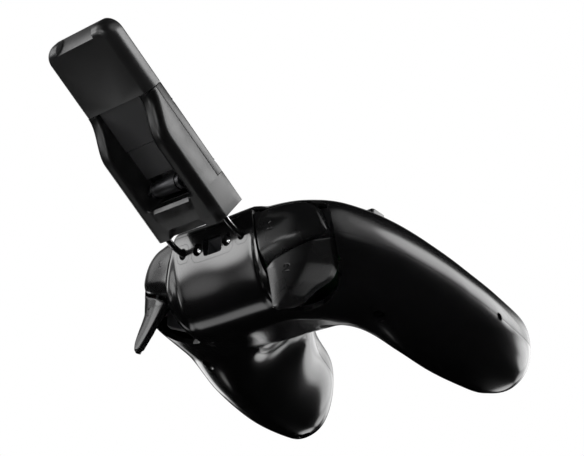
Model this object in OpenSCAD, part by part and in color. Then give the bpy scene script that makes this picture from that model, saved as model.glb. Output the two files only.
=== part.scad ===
// Two-handed wireless game controller with a spring phone clip that plugs into
// the back edge on two bent wire legs. The clip leans back over the controller.
// Millimetres. X runs across the controller, +Y points away from the player,
// +Z is up. The lowest point of the grips stands on Z = 0.

/* [Body outline] */
// Distance from the middle line of the face to the rear edge
rear_y = 49.2; // [46:0.1:53]
// Half width of the body across the shoulders
shoulder_hw = 66.5; // [64:0.1:69]
// Half width across the widest part of the grips
grip_hw = 75; // [73:0.1:78]
// Distance forward of the grip tips
tip_y = -69; // [-74:0.1:-66]
// Sideways place of the grip tips
tip_x = 59.5; // [57:0.1:62]
// Half width of the gap between the grips
crotch_x = 33; // [31:0.1:35]
// Front edge of the middle of the body
front_y = -23.4; // [-26:0.1:-22]

/* [Body thickness] */
// Height of the parting line at the back
seam_z = 46.3; // [45:0.1:48]
// Height of the parting line at the grip tips
tip_seam_z = 15.5; // [14.5:0.1:17]
// Rise of the top shell above the parting line
top_rise = 16.2; // [15:0.1:17.5]
// Depth of the grips below the parting line
under_grip = 25.6; // [25:0.1:27]
// Depth of the middle below the parting line
under_mid = 19.6; // [18.5:0.1:20.5]
// Edge rounding above the parting line
top_round = 11.4; // [10.5:0.1:12.5]
// Edge rounding below the parting line
under_round = 27.4; // [26:0.1:29]
// Wall thickness of both shells
wall = 2.2; // [1.8:0.1:2.5]
// Width of the parting line between the shells
seam_gap = 0.2; // [0.1:0.05:0.3]

/* [Bumpers and triggers] */
// Gap round each bumper
bumper_gap = 0.5; // [0.4:0.05:0.7]
// Gap between bumper and trigger
trigger_gap = 1.1; // [0.9:0.05:1.3]
// Wall of the bumper and trigger caps
cap_t = 2.6; // [2.2:0.1:2.8]
// How far the trigger lip stands out past the rear edge
lip_reach = 3.4; // [2:0.1:4.5]
// Diameter of the trigger pin
pin_d = 2.5; // [2:0.1:2.8]
// Running clearance on each pin, on the radius
pin_clear = 0.05; // [0.03:0.01:0.08]

/* [Face controls] */
// Distance of the button group and of the direction pad in from the shoulder
face_in = 21.5; // [20.5:0.5:22.5]
// Place of both groups along the body
face_y = 12; // [11:0.5:13]
// Distance of each button from the middle of its group
ring_r = 10; // [9.5:0.25:10.5]
// Diameter of a face button
button_d = 9.2; // [8.4:0.1:9.6]
// How far a face button stands out
button_out = 2.4; // [1.8:0.1:3]
// How far a face button goes down
button_travel = 1.2; // [0.8:0.1:1.4]
// Length of the direction pad
pad_l = 22; // [20:0.5:23]
// Width of each arm of the direction pad
pad_w = 7.2; // [6.6:0.1:7.8]
// Gap round buttons that slide
slide_gap = 0.25; // [0.2:0.05:0.35]
// Sideways place of the sticks
stick_x = 25; // [24.5:0.5:26]
// Place of the sticks along the body
stick_y = -6.5; // [-7.5:0.5:-6]
// Diameter of the thumb cap
stick_cap_d = 18.4; // [17:0.1:19.5]
// Radius of the dome that closes the stick opening
stick_dome_r = 13; // [12.6:0.1:13.2]
// Radius of the stick opening
stick_hole_r = 11.8; // [11.6:0.1:12]
// Height of the cap's underside above the stick's pivot
stick_rise = 15.5; // [15.2:0.1:17]
// Diameter of the small middle buttons
small_d = 6; // [5.4:0.1:6.6]

/* [Electronics] */
// Underside height of the circuit board
board_z = 38.4; // [38:0.1:38.8]
// Thickness of the circuit board
board_t = 1.6; // [1.2:0.1:1.6]
// Battery length across the body
battery_l = 44; // [36:0.5:46]
// Battery depth
battery_w = 28; // [24:0.5:29]
// Battery thickness
battery_t = 8; // [6:0.1:8.4]

/* [Rear panel] */
// Width of the port panel
panel_w = 24.6; // [24:0.1:25]
// Height of the middle of the port above the table
port_z = 49.8; // [49.5:0.1:50.1]
// Distance of each round rear button from the middle
rear_button_x = 8.8; // [8.7:0.05:9]
// Distance between the two wire legs
wire_gap = 35; // [34.6:0.1:35.4]
// Diameter of the clip's wire legs
wire_d = 2.46; // [2.2:0.02:2.6]
// Clearance of a wire leg in its socket, on the radius
wire_clear = 0.08; // [0.05:0.01:0.1]
// Slope of the wire legs in their sockets
prong_tilt = 20; // [19:0.5:21]
// Length of wire inside each socket
prong_l = 12; // [10:0.5:12.5]

/* [Phone clip] */
// Lean of the clip back from upright
clip_lean = 51; // [50:0.5:52]
// Width of the clip
clip_w = 40; // [39.6:0.1:42]
// Thickness of the lower clip body
clip_t = 15.6; // [15.2:0.1:16]
// Thickness of the jaw plate
jaw_t = 8.4; // [8:0.1:8.6]
// Length of the lower clip body
clip_l = 56.6; // [56:0.1:60]
// Length of the jaw above the body
jaw_l = 31.8; // [31:0.1:34]
// How far the jaw pulls out
jaw_travel = 26; // [20:0.5:27]
// Width of the channel in the back of the clip
channel_w = 25.5; // [24.8:0.1:25.8]
// Diameter of the spring drum
drum_d = 7.6; // [7.2:0.1:7.8]
// Length of the spring drum
drum_l = 17.6; // [16:0.1:18]
// How far the hooks reach over the phone
hook_out = 11; // [9:0.5:11]
// Half width of each hook
hook_hw = 8; // [7:0.5:9]

/* [Hidden] */

// ---- small helpers -------------------------------------------------------
function sm(a, b, x) = let (t = min(max((x - a) / (b - a), 0), 1)) t * t * (3 - 2 * t);
function mix(a, b, t) = a + (b - a) * t;
function bow(s, p = 2.3) = pow(1 - pow(1 - min(max(s, 0), 1), p), 1 / p);
function spline(p0, p1, p2, p3, t) = 0.5 * (2 * p1 + (p2 - p0) * t
  + (2 * p0 - 5 * p1 + 4 * p2 - p3) * t * t + (3 * p1 - p0 - 3 * p2 + p3) * t * t * t);
function seg_d(p, a, b) = let (d = b - a, t = min(max(((p - a) * d) / (d * d), 0), 1))
  norm(p - a - t * d);
function unit(v) = v / norm(v);

// ---- outline of the right half, from the middle of the rear edge round the
// grip tip to the middle of the front edge ---------------------------------
corners = [[0, rear_y], [23.5, rear_y + 0.4], [40, rear_y - 1.8], [51, rear_y - 7.4],
  [shoulder_hw - 8.5, rear_y - 14.6], [shoulder_hw - 3.9, 24], [shoulder_hw, 10.7],
  [mix(shoulder_hw, grip_hw, 0.45), -6.4], [grip_hw - 1.6, -21.8], [grip_hw, -40],
  [grip_hw - 3.2, tip_y + 9.4], [tip_x + 4.3, tip_y + 0.8], [tip_x - 6.4, tip_y + 0.4],
  [crotch_x + 6.6, tip_y + 9.4], [crotch_x, -43.8], [crotch_x - 7.6, -32.1],
  [21.4, front_y - 2.1], [0, front_y]];
steps = 5;
nc = len(corners);
function corner(i) = i < 0 ? [-corners[-i][0], corners[-i][1]]
  : i >= nc ? [-corners[2 * nc - 2 - i][0], corners[2 * nc - 2 - i][1]] : corners[i];
rim = concat([for (i = [0:nc - 2], k = [0:steps - 1])
  spline(corner(i - 1), corner(i), corner(i + 1), corner(i + 2), k / steps)], [corners[nc - 1]]);
nr = len(rim);
// the rim drawn in by a distance
function rim_in(e) = e == 0 ? rim : [for (i = [0:nr - 1])
  let (a = rim[max(i - 1, 0)], b = rim[min(i + 1, nr - 1)],
    t = (i == 0 || i == nr - 1) ? [sign(b[0] - a[0]), 0] : unit(b - a))
  [max(rim[i][0] + e * t[1], 0), rim[i][1] - e * t[0]]];
function far_i(r, i = 0, best = 0) = i == len(r) ? best
  : far_i(r, i + 1, r[i][0] > r[best][0] ? i : best);
function rim_d(r, x, y) = min([for (i = [0:len(r) - 2]) seg_d([x, y], r[i], r[i + 1])]);

// ---- heights of the body's surfaces --------------------------------------
droop = seam_z - tip_seam_z;
chin = 11.2;
// share of the droop that reaches a place across the body
function droop_k(x) = 0.25 + 0.75 * sm(17, 53.5, abs(x));
function chin_at(x, y) = chin * (1 - sm(22.6, 26.5, abs(x))) * sm(15, rear_y, y);
function seam_at(x, y) = seam_z - droop * (1 - 1 / (1 + exp(-(y + 20.6) / 20.1))) * droop_k(x)
  + chin_at(x, y);
function rise_at(x, y) = top_rise - 2.1 * (1 - sm(-48, 21, y)) - chin_at(x, y)
  + 3.2 * (1 - sm(24, 52, abs(x))) * (1 - sm(-30, 12, y));
function depth_at(x, y) = let (mid = under_mid + 8.6 * sm(-10.7, 42.8, y) - 8.6 * (1 - sm(-21.4, 0, y)),
    grip = under_grip - 4.1 * (1 - sm(-64, -10.7, y)) - 5 * sm(-12, 8, y))
  mix(mid, grip, sm(19.3, 49.2, abs(x))) + chin_at(x, y);
function top_at(x, y, d, e = 0) = seam_at(x, y) + (rise_at(x, y) - e) * bow(d / (top_round - e));
function under_at(x, y, d, e = 0) = seam_at(x, y) - (depth_at(x, y) - e) * bow(d / (under_round - e));
function top_z(x, y) = top_at(x, y, rim_d(rim, abs(x), y));
function under_z(x, y) = under_at(x, y, rim_d(rim, abs(x), y));

// ---- lofted body surfaces ------------------------------------------------
// stations across the body and along each section
nx = 19;
ny = 18;
function stations(xm) = [for (i = [-nx:nx]) sign(i) * (xm - 0.02) * pow(sin(90 * abs(i) / nx), 0.9)];
// grid[i][j] = [x, y, z] of one surface of the body drawn in by e; side 1 is top, -1 under
function sheet_grid(e, side, lift = 0) = let (r = rim_in(e), k = far_i(r),
    back = [for (i = [0:k]) [r[i][0], r[i][1]]],
    front = [for (i = [len(r) - 1:-1:k]) [r[i][0], r[i][1]]], xm = r[k][0])
  [for (x = stations(xm)) let (ya = lookup(abs(x), back), yb = lookup(abs(x), front))
    [for (j = [0:ny]) let (y = mix(ya, yb, (1 - cos(180 * j / ny)) / 2),
        d = (j == 0 || j == ny) ? 0 : rim_d(r, abs(x), y))
      [x, y, (side > 0 ? top_at(x, y, d, e) : under_at(x, y, d, e)) + lift]]];
// whole body drawn in by e
module body_solid(e = 0) {
  t = sheet_grid(e, 1);
  u = sheet_grid(e, -1);
  n = 2 * nx + 1;
  k = 2 * ny;
  pts = [for (i = [0:n - 1], j = [0:k - 1]) j <= ny ? t[i][j] : u[i][k - j]];
  faces = concat(
    [for (i = [0:n - 2], j = [0:k - 1]) let (a = i * k + j, b = i * k + (j + 1) % k,
        c = a + k, d = b + k) each [[a, c, b], [b, c, d]]],
    [[for (j = [0:k - 1]) j]], [[for (j = [k - 1:-1:0]) (n - 1) * k + j]]);
  polyhedron(pts, faces, convexity = 6);
}
// one shell: outer and inner sheet joined along the parting line
module half_shell(side) {
  lift = side * seam_gap / 2;
  a = sheet_grid(0, side, lift);
  b = sheet_grid(wall, side, lift);
  n = 2 * nx + 1;
  m = ny + 1;
  o = n * m;
  pts = concat([for (i = [0:n - 1], j = [0:ny]) a[i][j]], [for (i = [0:n - 1], j = [0:ny]) b[i][j]]);
  skin = concat(
    [for (i = [0:n - 2], j = [0:ny - 1]) let (p = i * m + j) each
      [[p, p + m, p + 1], [p + 1, p + m, p + m + 1],
       [o + p, o + p + 1, o + p + m], [o + p + 1, o + p + m + 1, o + p + m]]],
    [for (i = [0:n - 2]) let (p = i * m, q = i * m + ny) each
      [[p, o + p, p + m], [p + m, o + p, o + p + m],
       [q, q + m, o + q], [q + m, o + q + m, o + q]]],
    [[for (j = [0:ny]) j], [for (j = [ny:-1:0]) o + j],
     [0, ny, o + ny], [0, o + ny, o],
     [for (j = [ny:-1:0]) (n - 1) * m + j], [for (j = [0:ny]) o + (n - 1) * m + j],
     [(n - 1) * m + ny, (n - 1) * m, o + (n - 1) * m],
     [(n - 1) * m + ny, o + (n - 1) * m, o + (n - 1) * m + ny]]);
  polyhedron(pts, side > 0 ? skin : [for (f = skin) [for (i = [len(f) - 1:-1:0]) f[i]]], convexity = 8);
}
module both() {
  children();
  mirror([1, 0, 0]) children();
}
// plain axes: a rod along X between two places
module rod_x(x0, x1, y, z, r, fn = 32) {
  translate([x0, y, z]) rotate([0, 90, 0]) cylinder(h = x1 - x0, r = r, $fn = fn);
}
// stretch a drawing of the Y-Z plane along X
module slab_x(x0, x1) {
  translate([x0, 0, 0]) rotate([90, 0, 90]) linear_extrude(height = x1 - x0) children();
}
// stretch a drawing of the X-Z plane along Y
module slab_y(y0, y1) {
  translate([0, y1, 0]) rotate([90, 0, 0]) linear_extrude(height = y1 - y0) children();
}

// ---- drawings shared by the shells and the moving caps -------------------
function along(list, t) = lookup(t * (len(list) - 1), [for (i = [0:len(list) - 1]) [i, list[i]]]);
function on_line(pts, t) = [along([for (p = pts) p[0]], t), along([for (p = pts) p[1]], t)];
far_n = far_i(rim);
rear_edge = [for (i = [0:far_n]) rim[i]];
function rear_at(x) = lookup(abs(x), rear_edge);
function rear_lean(x) = let (s = (rear_at(x + 1) - rear_at(x - 1)) / 2) sqrt(1 + s * s);
// Y of the body's rear face at a place across and a height
function rear_face(x, z) = let (y0 = rear_at(x), s = seam_at(x, y0),
    up = (z - s) / rise_at(x, y0), dn = (s - z) / depth_at(x, y0),
    g = min(max(z > s ? up : dn, 0), 1), d = 1 - pow(1 - pow(g, 2.3), 1 / 2.3))
  y0 - d * (z > s ? top_round : under_round) * rear_lean(x);
// face drawings of the bumper and the trigger on the right side, seen from behind
bump_in = [23.2 + bumper_gap, 58];
bumper_upper = [bump_in, [31, 58.7], [38.5, 58.9], [45.2, 58.1], [49.8, 55], [52.8, 49.9]];
bumper_lower = [[28.5 + bumper_gap, 34.4], [34.6, 36.8], [40, 38.8], [45.5, 41], [50, 43], [54.2, 44.9]];
trigger_upper = [for (p = bumper_lower) [p[0] + (p[0] < 32 ? trigger_gap : 0.2), p[1] - 1.4]];
lip_x = 38.1 + trigger_gap;
trigger_lower = [[lip_x, 13.8], [42.8, 13.4], [46.2, 14.3], [48.8, 17], [50.6, 21], [53.2, 25.6]];
function trigger_face(x, z) = mix(rear_at(x) - 0.6, rear_y + lip_reach - 0.15 * (x - lip_x),
  1 - sm(14.5, 31, z));
// closed sheet between two lines: a front face and a back face t behind it
module cap_sheet(upper, lower, face, t, nu = 12, nv = 8) {
  m = nv + 1;
  o = (nu + 1) * m;
  front = [for (i = [0:nu], j = [0:nv]) let (p = mix(on_line(upper, i / nu), on_line(lower, i / nu), j / nv))
    [p[0], face(p[0], p[1]), p[1]]];
  back = [for (p = front) [p[0], p[1] - t, p[2]]];
  faces = concat(
    [for (i = [0:nu - 1], j = [0:nv - 1]) let (a = i * m + j) each
      [[a, a + 1, a + m], [a + 1, a + m + 1, a + m],
       [o + a, o + a + m, o + a + 1], [o + a + 1, o + a + m, o + a + m + 1]]],
    [for (i = [0:nu - 1]) let (a = i * m, b = i * m + nv) each
      [[a, a + m, o + a], [a + m, o + a + m, o + a], [b, o + b, b + m], [b + m, o + b, o + b + m]]],
    [for (j = [0:nv - 1]) let (a = j, b = nu * m + j) each
      [[a, o + a, a + 1], [a + 1, o + a, o + a + 1], [b, b + 1, o + b], [b + 1, o + b + 1, o + b]]]);
  polyhedron(concat(front, back), faces, convexity = 4);
}
opening_foot = [[29.4, rear_y + 2], [29, rear_y - 4], [28.3, rear_y - 10], [27.6, rear_y - 15.2],
  [28.3, rear_y - 18.8], [30.5, rear_y - 22.2], [34, rear_y - 24.3], [38.5, rear_y - 25.1],
  [43, rear_y - 24.6], [47.5, rear_y - 23.1], [51.5, rear_y - 20.3], [55, rear_y - 16.6],
  [56.6, rear_y - 12], [56.6, rear_y + 2]];
module trigger_opening() {
  intersection() {
    slab_y(20, 80) polygon([[23.4 - 0.2, 58.8], [31, 59.4], [38.7, 59.6], [45.8, 59], [51.4, 57.6],
      [54.9, 52.6], [56.3, 46.5], [56.7, 40], [56.3, 34], [50, 30], [29.3, 30], [28.3, 34.2]]);
    linear_extrude(height = 80) polygon([[20, rear_y - 11.7], [44, rear_y - 11.7],
      [50, rear_y - 15.2], [58, rear_y - 21.7], [58, rear_y + 20], [20, rear_y + 20]]);
  }
  linear_extrude(height = 34) polygon(opening_foot);
}
module rrect(w, h, r) {
  square([w - 2 * r, h], center = true);
  square([w, h - 2 * r], center = true);
  for (x = [-1, 1], y = [-1, 1]) translate([x * (w / 2 - r), y * (h / 2 - r)]) circle(r = r, $fn = 24);
}

// ---- places of the face controls -----------------------------------------
face_x = shoulder_hw - face_in;
face_z = top_z(face_x, face_y);
face_tilt = atan((top_z(face_x, face_y + 6) - top_z(face_x, face_y - 6)) / 12);
// stand on the sloping face at the middle of a control group
module on_face(side) {
  translate([side * face_x, face_y, face_z]) rotate([face_tilt, 0, 0]) children();
}
button_at = [[0, -ring_r], [0, ring_r], [-ring_r, 0], [ring_r, 0]];
// height of the surface over the group's plane at a button
function face_rise(p) = let (y = face_y + p[1] * cos(face_tilt), z = face_z + p[1] * sin(face_tilt))
  (top_z(face_x + p[0], y) - z) * cos(face_tilt);
guide_r = button_d / 2 + slide_gap;
guide_l = 5.4;
stick_z = top_z(stick_x, stick_y) - 10;
board_top = board_z + board_t;
battery_z = board_z - 3.4 - battery_t;
small_at = [[-11, 20, small_d / 2], [11, 20, small_d / 2], [0, 4, small_d / 2 + 1]];
light_y = -12;
light_l = 14;
// ---- places of the case screws -------------------------------------------
root_screw = [50.3, 5.2];
tip_screw = [53, -55.5];
case_screw_r = 1.2;
root_z = under_z(root_screw[0], root_screw[1]);
tip_z = under_z(tip_screw[0], tip_screw[1]);
// ---- rear panel ----------------------------------------------------------
panel_gap = 0.12;
panel_z0 = 44.6;
panel_z1 = 56.2;
window_w = 11;
window_h = 7.3;
socket_w = 7;
hole_y = rear_y;
hole_z = port_z;
wire_r = wire_d / 2;
// ---- clip placement ------------------------------------------------------
stub = 6;
leg_out = 4.6;
wire_in = 4.5;
leg_in = 20;
bend_y = hole_y + stub * cos(prong_tilt);
bend_z = hole_z + stub * sin(prong_tilt);
clip_y = bend_y + wire_in * cos(clip_lean) + leg_out * sin(clip_lean);
clip_z = bend_z - wire_in * sin(clip_lean) + leg_out * cos(clip_lean);
module on_clip() {
  translate([0, clip_y, clip_z]) rotate([-clip_lean, 0, 0]) children();
}
// a place in one socket, Z out of the controller along the wire leg
module on_socket(side) {
  translate([side * wire_gap / 2, hole_y, hole_z]) rotate([prong_tilt - 90, 0, 0]) children();
}
// the whole object is set so that its box is centred on the origin
tip_reach = min([for (p = rim) p[1]]);
clip_reach = clip_y + sin(clip_lean) * (clip_l + jaw_l - 0.9) - cos(clip_lean) * (clip_t - jaw_t + 0.9);
module place() {
  translate([0, -(tip_reach + clip_reach) / 2, 0]) children();
}

// ---- shells --------------------------------------------------------------
pad_gap = 0.6;
module pad_cross(extra) {
  square([pad_l + 2 * extra, pad_w + 2 * extra], center = true);
  square([pad_w + 2 * extra, pad_l + 2 * extra], center = true);
}
module top_shell() {
  color("#141415") place() difference() {
    union() {
      half_shell(1);
      intersection() {
        body_solid(wall / 2);
        union() {
          on_face(1) for (p = button_at) translate([p[0], p[1], face_rise(p) - guide_l])
            cylinder(h = guide_l, r = guide_r + 1.2, $fn = 40);
          both() {
            translate([root_screw[0], root_screw[1], 40.6]) cylinder(h = 6.2, r = 2.3, $fn = 32);
            translate([root_screw[0] + 1.6, root_screw[1] - 0.9, 41.6]) cube([16, 1.8, 4.6]);
            translate([tip_screw[0], tip_screw[1], 19.4]) cylinder(h = 14, r = 3.1, $fn = 32);
          }
        }
      }
    }
    both() trigger_opening();
    on_face(1) for (p = button_at) translate([p[0], p[1], face_rise(p) - 9]) {
      cylinder(h = 14, r = guide_r, $fn = 40);
      cylinder(h = 9 - guide_l - 0.05, r = guide_r + 1.1, $fn = 40);
    }
    on_face(-1) translate([0, 0, -4]) linear_extrude(height = 9) pad_cross(pad_gap);
    both() translate([stick_x, stick_y, stick_z]) {
      translate([0, 0, 3]) cylinder(h = 14, r = stick_hole_r, $fn = 64);
      sphere(r = stick_dome_r + 0.35, $fn = 64);
    }
    for (p = small_at) translate([p[0], p[1], 54]) cylinder(h = 12, r = p[2] + slide_gap, $fn = 40);
    translate([-light_l / 2 - 0.15, light_y - 1.15, 50]) cube([light_l + 0.3, 2.3, 20]);
    both() {
      translate([root_screw[0], root_screw[1], 39]) cylinder(h = 7, r = case_screw_r + 0.05, $fn = 24);
      translate([tip_screw[0], tip_screw[1], 17]) cylinder(h = 8.4, r = case_screw_r + 0.05, $fn = 24);
    }
  }
}
post_at = [[28.5, 19.5], [38, -12]];
module back_shell() {
  color("#101011") place() difference() {
    union() {
      difference() {
        half_shell(-1);
        both() trigger_opening();
      }
      intersection() {
        body_solid(wall / 2);
        both() {
          translate([root_screw[0], root_screw[1], 10]) cylinder(h = 30, r = 3.7, $fn = 32);
          translate([tip_screw[0], tip_screw[1], 0]) cylinder(h = 18.8, r = 3.7, $fn = 32);
          for (p = post_at) translate([p[0], p[1], 10]) cylinder(h = board_z - 10, r = 2.2, $fn = 24);
          translate([battery_l / 2 + 0.4, 2, 14]) cube([1.4, 20, 20]);
          translate([11, 2, 14]) cube([1.6, 22, battery_z - 14]);
        }
      }
    }
    both() {
      translate([root_screw[0], root_screw[1], 0]) cylinder(h = 45, r = case_screw_r + 0.25, $fn = 24);
      translate([root_screw[0], root_screw[1], 0]) cylinder(h = root_z + 4, r = 2.6, $fn = 32);
      translate([tip_screw[0], tip_screw[1], -5]) cylinder(h = 30, r = case_screw_r + 0.25, $fn = 24);
      translate([tip_screw[0], tip_screw[1], -5]) cylinder(h = tip_z + 14, r = 2.6, $fn = 32);
    }
    translate([0, 0, (panel_z0 + panel_z1) / 2]) slab_y(40, 60)
      rrect(panel_w + 2 * panel_gap, panel_z1 - panel_z0 + 2 * panel_gap, 3);
    for (s = [-1, 1]) on_socket(s) translate([0, 0, -9]) linear_extrude(height = 20)
      rrect(socket_w + 2 * panel_gap, socket_w + 2 * panel_gap, 2.2);
  }
}
module port_panel() {
  color("#121213") place() difference() {
    intersection() {
      body_solid();
      translate([0, 0, (panel_z0 + panel_z1) / 2]) slab_y(40, 60)
        rrect(panel_w, panel_z1 - panel_z0, 2.9);
    }
    body_solid(wall);
    translate([0, 0, port_z]) slab_y(40, 60) rrect(window_w, window_h, 1);
    for (s = [-1, 1]) translate([s * rear_button_x, 60, port_z]) rotate([90, 0, 0])
      cylinder(h = 20, r = 2.7, $fn = 40);
  }
}
// shelf that stands on the board behind the panel: it frames the port and
// guides the two small rear buttons
shelf_y1 = rear_y - 3.4;
port_h = 3.2;
port_w = 8;
module port_shroud() {
  color("#1b1b1c") place() difference() {
    union() {
      slab_x(-6.2, 6.2) polygon([[shelf_y1 - 7.4, board_top], [shelf_y1 - 1.7, board_top],
        [shelf_y1 - 1.4, board_top + 4], [shelf_y1, board_top + 5], [shelf_y1, port_z + 4.6],
        [shelf_y1 - 7.4, port_z + 4.6]]);
      translate([-rear_button_x - 2.6, shelf_y1 - 6.2, port_z - 2.6]) cube([2 * rear_button_x + 5.2, 2.6, 5.2]);
    }
    // mouth with a sloping upper floor
    slab_x(-5.5, 5.5) polygon([[shelf_y1 + 1, port_z + 3.6], [shelf_y1 - 0.4, port_z + 3.6],
      [shelf_y1 - 4.6, port_z + 0.4], [shelf_y1 - 4.6, port_z - 3.4], [shelf_y1 + 1, port_z - 3.4]]);
    // seat of the socket
    translate([-port_w / 2 - 0.1, shelf_y1 - 9, port_z - 3.1]) cube([port_w + 0.2, 7, port_h + 0.2]);
    for (s = [-1, 1]) translate([s * rear_button_x, 60, port_z]) rotate([90, 0, 0])
      cylinder(h = 40, r = 1.75 + 0.08, $fn = 32);
  }
}
module charge_port() {
  color("#b9bcc0") place() translate([0, shelf_y1 - 8.6, port_z - 3]) difference() {
    union() {
      difference() {
        translate([-port_w / 2, 0, 0]) cube([port_w, 5.6, port_h]);
        translate([-port_w / 2 + 0.4, 1, 0.4]) cube([port_w - 0.8, 6, port_h - 0.8]);
      }
      translate([-2.6, 0.5, 1.3]) cube([5.2, 4.4, 0.7]);
    }
  }
}
module socket(side) {
  color("#1a1a1b") place() difference() {
    intersection() {
      body_solid();
      on_socket(side) translate([0, 0, -prong_l - 1.6]) linear_extrude(height = prong_l + 6)
        rrect(socket_w, socket_w, 2.1);
    }
    on_socket(side) translate([0, 0, -prong_l - 0.3]) cylinder(h = prong_l + 12, r = wire_r + wire_clear, $fn = 32);
  }
}
module left_socket() { socket(-1); }
module right_socket() { socket(1); }
rear_button_r = 1.75;
module rear_button(x) {
  color("#c4c7ca") place() translate([x, 0, port_z]) rotate([-90, 0, 0]) union() {
    translate([0, 0, shelf_y1 - 7.4]) cylinder(h = rear_y - 1.6 - shelf_y1 + 7.4, r = rear_button_r, $fn = 32);
    translate([0, 0, rear_y - 1.6]) rotate_extrude($fn = 32)
      polygon(concat([[0, 0]], [for (a = [0:15:90]) [rear_button_r * cos(a), 1.1 * sin(a)]]));
    translate([0, 0, shelf_y1 - 1.6]) cylinder(h = 1, r = 2.4, $fn = 32);
  }
}
module pair_button() { rear_button(-rear_button_x); }
module reset_button() { rear_button(rear_button_x); }

// ---- bumpers and triggers ------------------------------------------------
trigger_axis = [rear_y - 13, 42.5];
bumper_axis = [rear_y - 12.8, 51.4];
ear_x = [33.2, 45.2];
ear_t = 1.8;
pin_r = pin_d / 2;
bump_pin_r = 1;
module bumper() {
  cap_sheet(bumper_upper, bumper_lower, function (x, z) rear_face(x, z), cap_t, 14, 8);
  for (k = [[ear_x[0] - 2.2, 1.9, 1], [ear_x[1] + ear_t + 0.3, 1.9, -1]]) {
    difference() {
      slab_x(k[0], k[0] + k[1]) polygon([[bumper_axis[0] - 2.2, bumper_axis[1] - 1.4],
        [bumper_axis[0] - 2.2, bumper_axis[1] + 1.4], [bumper_axis[0], bumper_axis[1] + 2.2],
        [rear_face(k[0] + 1, bumper_axis[1]) - 1.6, bumper_axis[1] + 2.2],
        [rear_face(k[0] + 1, bumper_axis[1]) - 1.6, bumper_axis[1] - 2.2], [bumper_axis[0], bumper_axis[1] - 2.2]]);
    }
    rod_x(k[2] > 0 ? k[0] + k[1] - 0.1 : ear_x[1] + 0.2, k[2] > 0 ? ear_x[0] + ear_t - 0.2 : k[0] + 0.1,
      bumper_axis[0], bumper_axis[1], bump_pin_r, 24);
  }
}
module right_bumper() { color("#18181a") place() bumper(); }
module left_bumper() { color("#18181a") place() mirror([1, 0, 0]) bumper(); }
hub_r = pin_r + 1.4;
web_x = [ear_x[0] + ear_t + 0.3, ear_x[1] - 2.1];
module trigger() {
  difference() {
    union() {
      cap_sheet(trigger_upper, trigger_lower, function (x, z) trigger_face(x, z), cap_t, 14, 12);
      for (x = web_x) slab_x(x, x + 1.8) union() {
        translate(trigger_axis) circle(r = hub_r, $fn = 32);
        polygon([[trigger_axis[0] - hub_r * 0.7, trigger_axis[1] - hub_r * 0.7],
          [trigger_axis[0] + hub_r * 0.8, trigger_axis[1] + hub_r * 0.6],
          [rear_at(x) - 2.4, 31.5], [rear_at(x) - 2.4, 24]]);
      }
    }
    rod_x(30, 55, trigger_axis[0], trigger_axis[1], pin_r + pin_clear);
  }
}
module right_trigger() { color("#151516") place() trigger(); }
module left_trigger() { color("#151516") place() mirror([1, 0, 0]) trigger(); }
plate_y = rear_y - 18.7;
module bracket() {
  difference() {
    union() {
      intersection() {
        body_solid(wall + 0.25);
        slab_y(plate_y, plate_y + 2) polygon([[31, 12], [46, 12], [46, 35], [50, 35], [50, 58], [31, 58]]);
      }
      for (x = ear_x) slab_x(x, x + ear_t) polygon([[plate_y + 1, 36], [trigger_axis[0], 39.6],
        [trigger_axis[0] + hub_r, trigger_axis[1] - 0.6], [trigger_axis[0] + hub_r, trigger_axis[1] + 1.4],
        [bumper_axis[0] + 2.2, bumper_axis[1] - 1.4], [bumper_axis[0] + 2.2, bumper_axis[1] + 1.4],
        [bumper_axis[0] - 1, bumper_axis[1] + 2.2], [plate_y + 1, bumper_axis[1] + 2.2]]);
    }
    rod_x(30, 55, trigger_axis[0], trigger_axis[1], pin_r + 0.01);
    rod_x(30, 55, bumper_axis[0], bumper_axis[1], bump_pin_r + pin_clear, 24);
  }
}
module right_bracket() { color("#2c2c2e") place() bracket(); }
module left_bracket() { color("#2c2c2e") place() mirror([1, 0, 0]) bracket(); }
module trigger_pin() { rod_x(ear_x[0] - 0.2, ear_x[1] + ear_t + 0.2, trigger_axis[0], trigger_axis[1], pin_r); }
module right_trigger_pin() { color("#b4b6b8") place() trigger_pin(); }
module left_trigger_pin() { color("#b4b6b8") place() mirror([1, 0, 0]) trigger_pin(); }
spring_in = pin_r + 0.15;
coil_n = 5;
coil_p = 1.1;
module trigger_spring() {
  x0 = (web_x[0] + 1.8 + web_x[1]) / 2 - coil_n * coil_p / 2;
  translate([x0, trigger_axis[0], trigger_axis[1]]) rotate([0, 90, 0]) rotate_extrude($fn = 32)
    polygon(concat([[spring_in, 0]], [for (i = [0:coil_n - 1]) each [[spring_in + 0.45, i * coil_p],
      [spring_in + 0.9, (i + 0.3) * coil_p], [spring_in + 0.9, (i + 0.7) * coil_p],
      [spring_in + 0.45, (i + 1) * coil_p]]], [[spring_in, coil_n * coil_p]]));
}
module right_trigger_spring() { color("#9fa2a5") place() trigger_spring(); }
module left_trigger_spring() { color("#9fa2a5") place() mirror([1, 0, 0]) trigger_spring(); }

// ---- direction pad and round buttons -------------------------------------
dome_h = 2.6;
mat_t = 1.2;
dome_top = board_top + mat_t + dome_h;
// depth along the tilted axis, from the group's plane down to a height
function drop_to(py, z) = (z - face_z - py * sin(face_tilt)) / cos(face_tilt);
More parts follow.
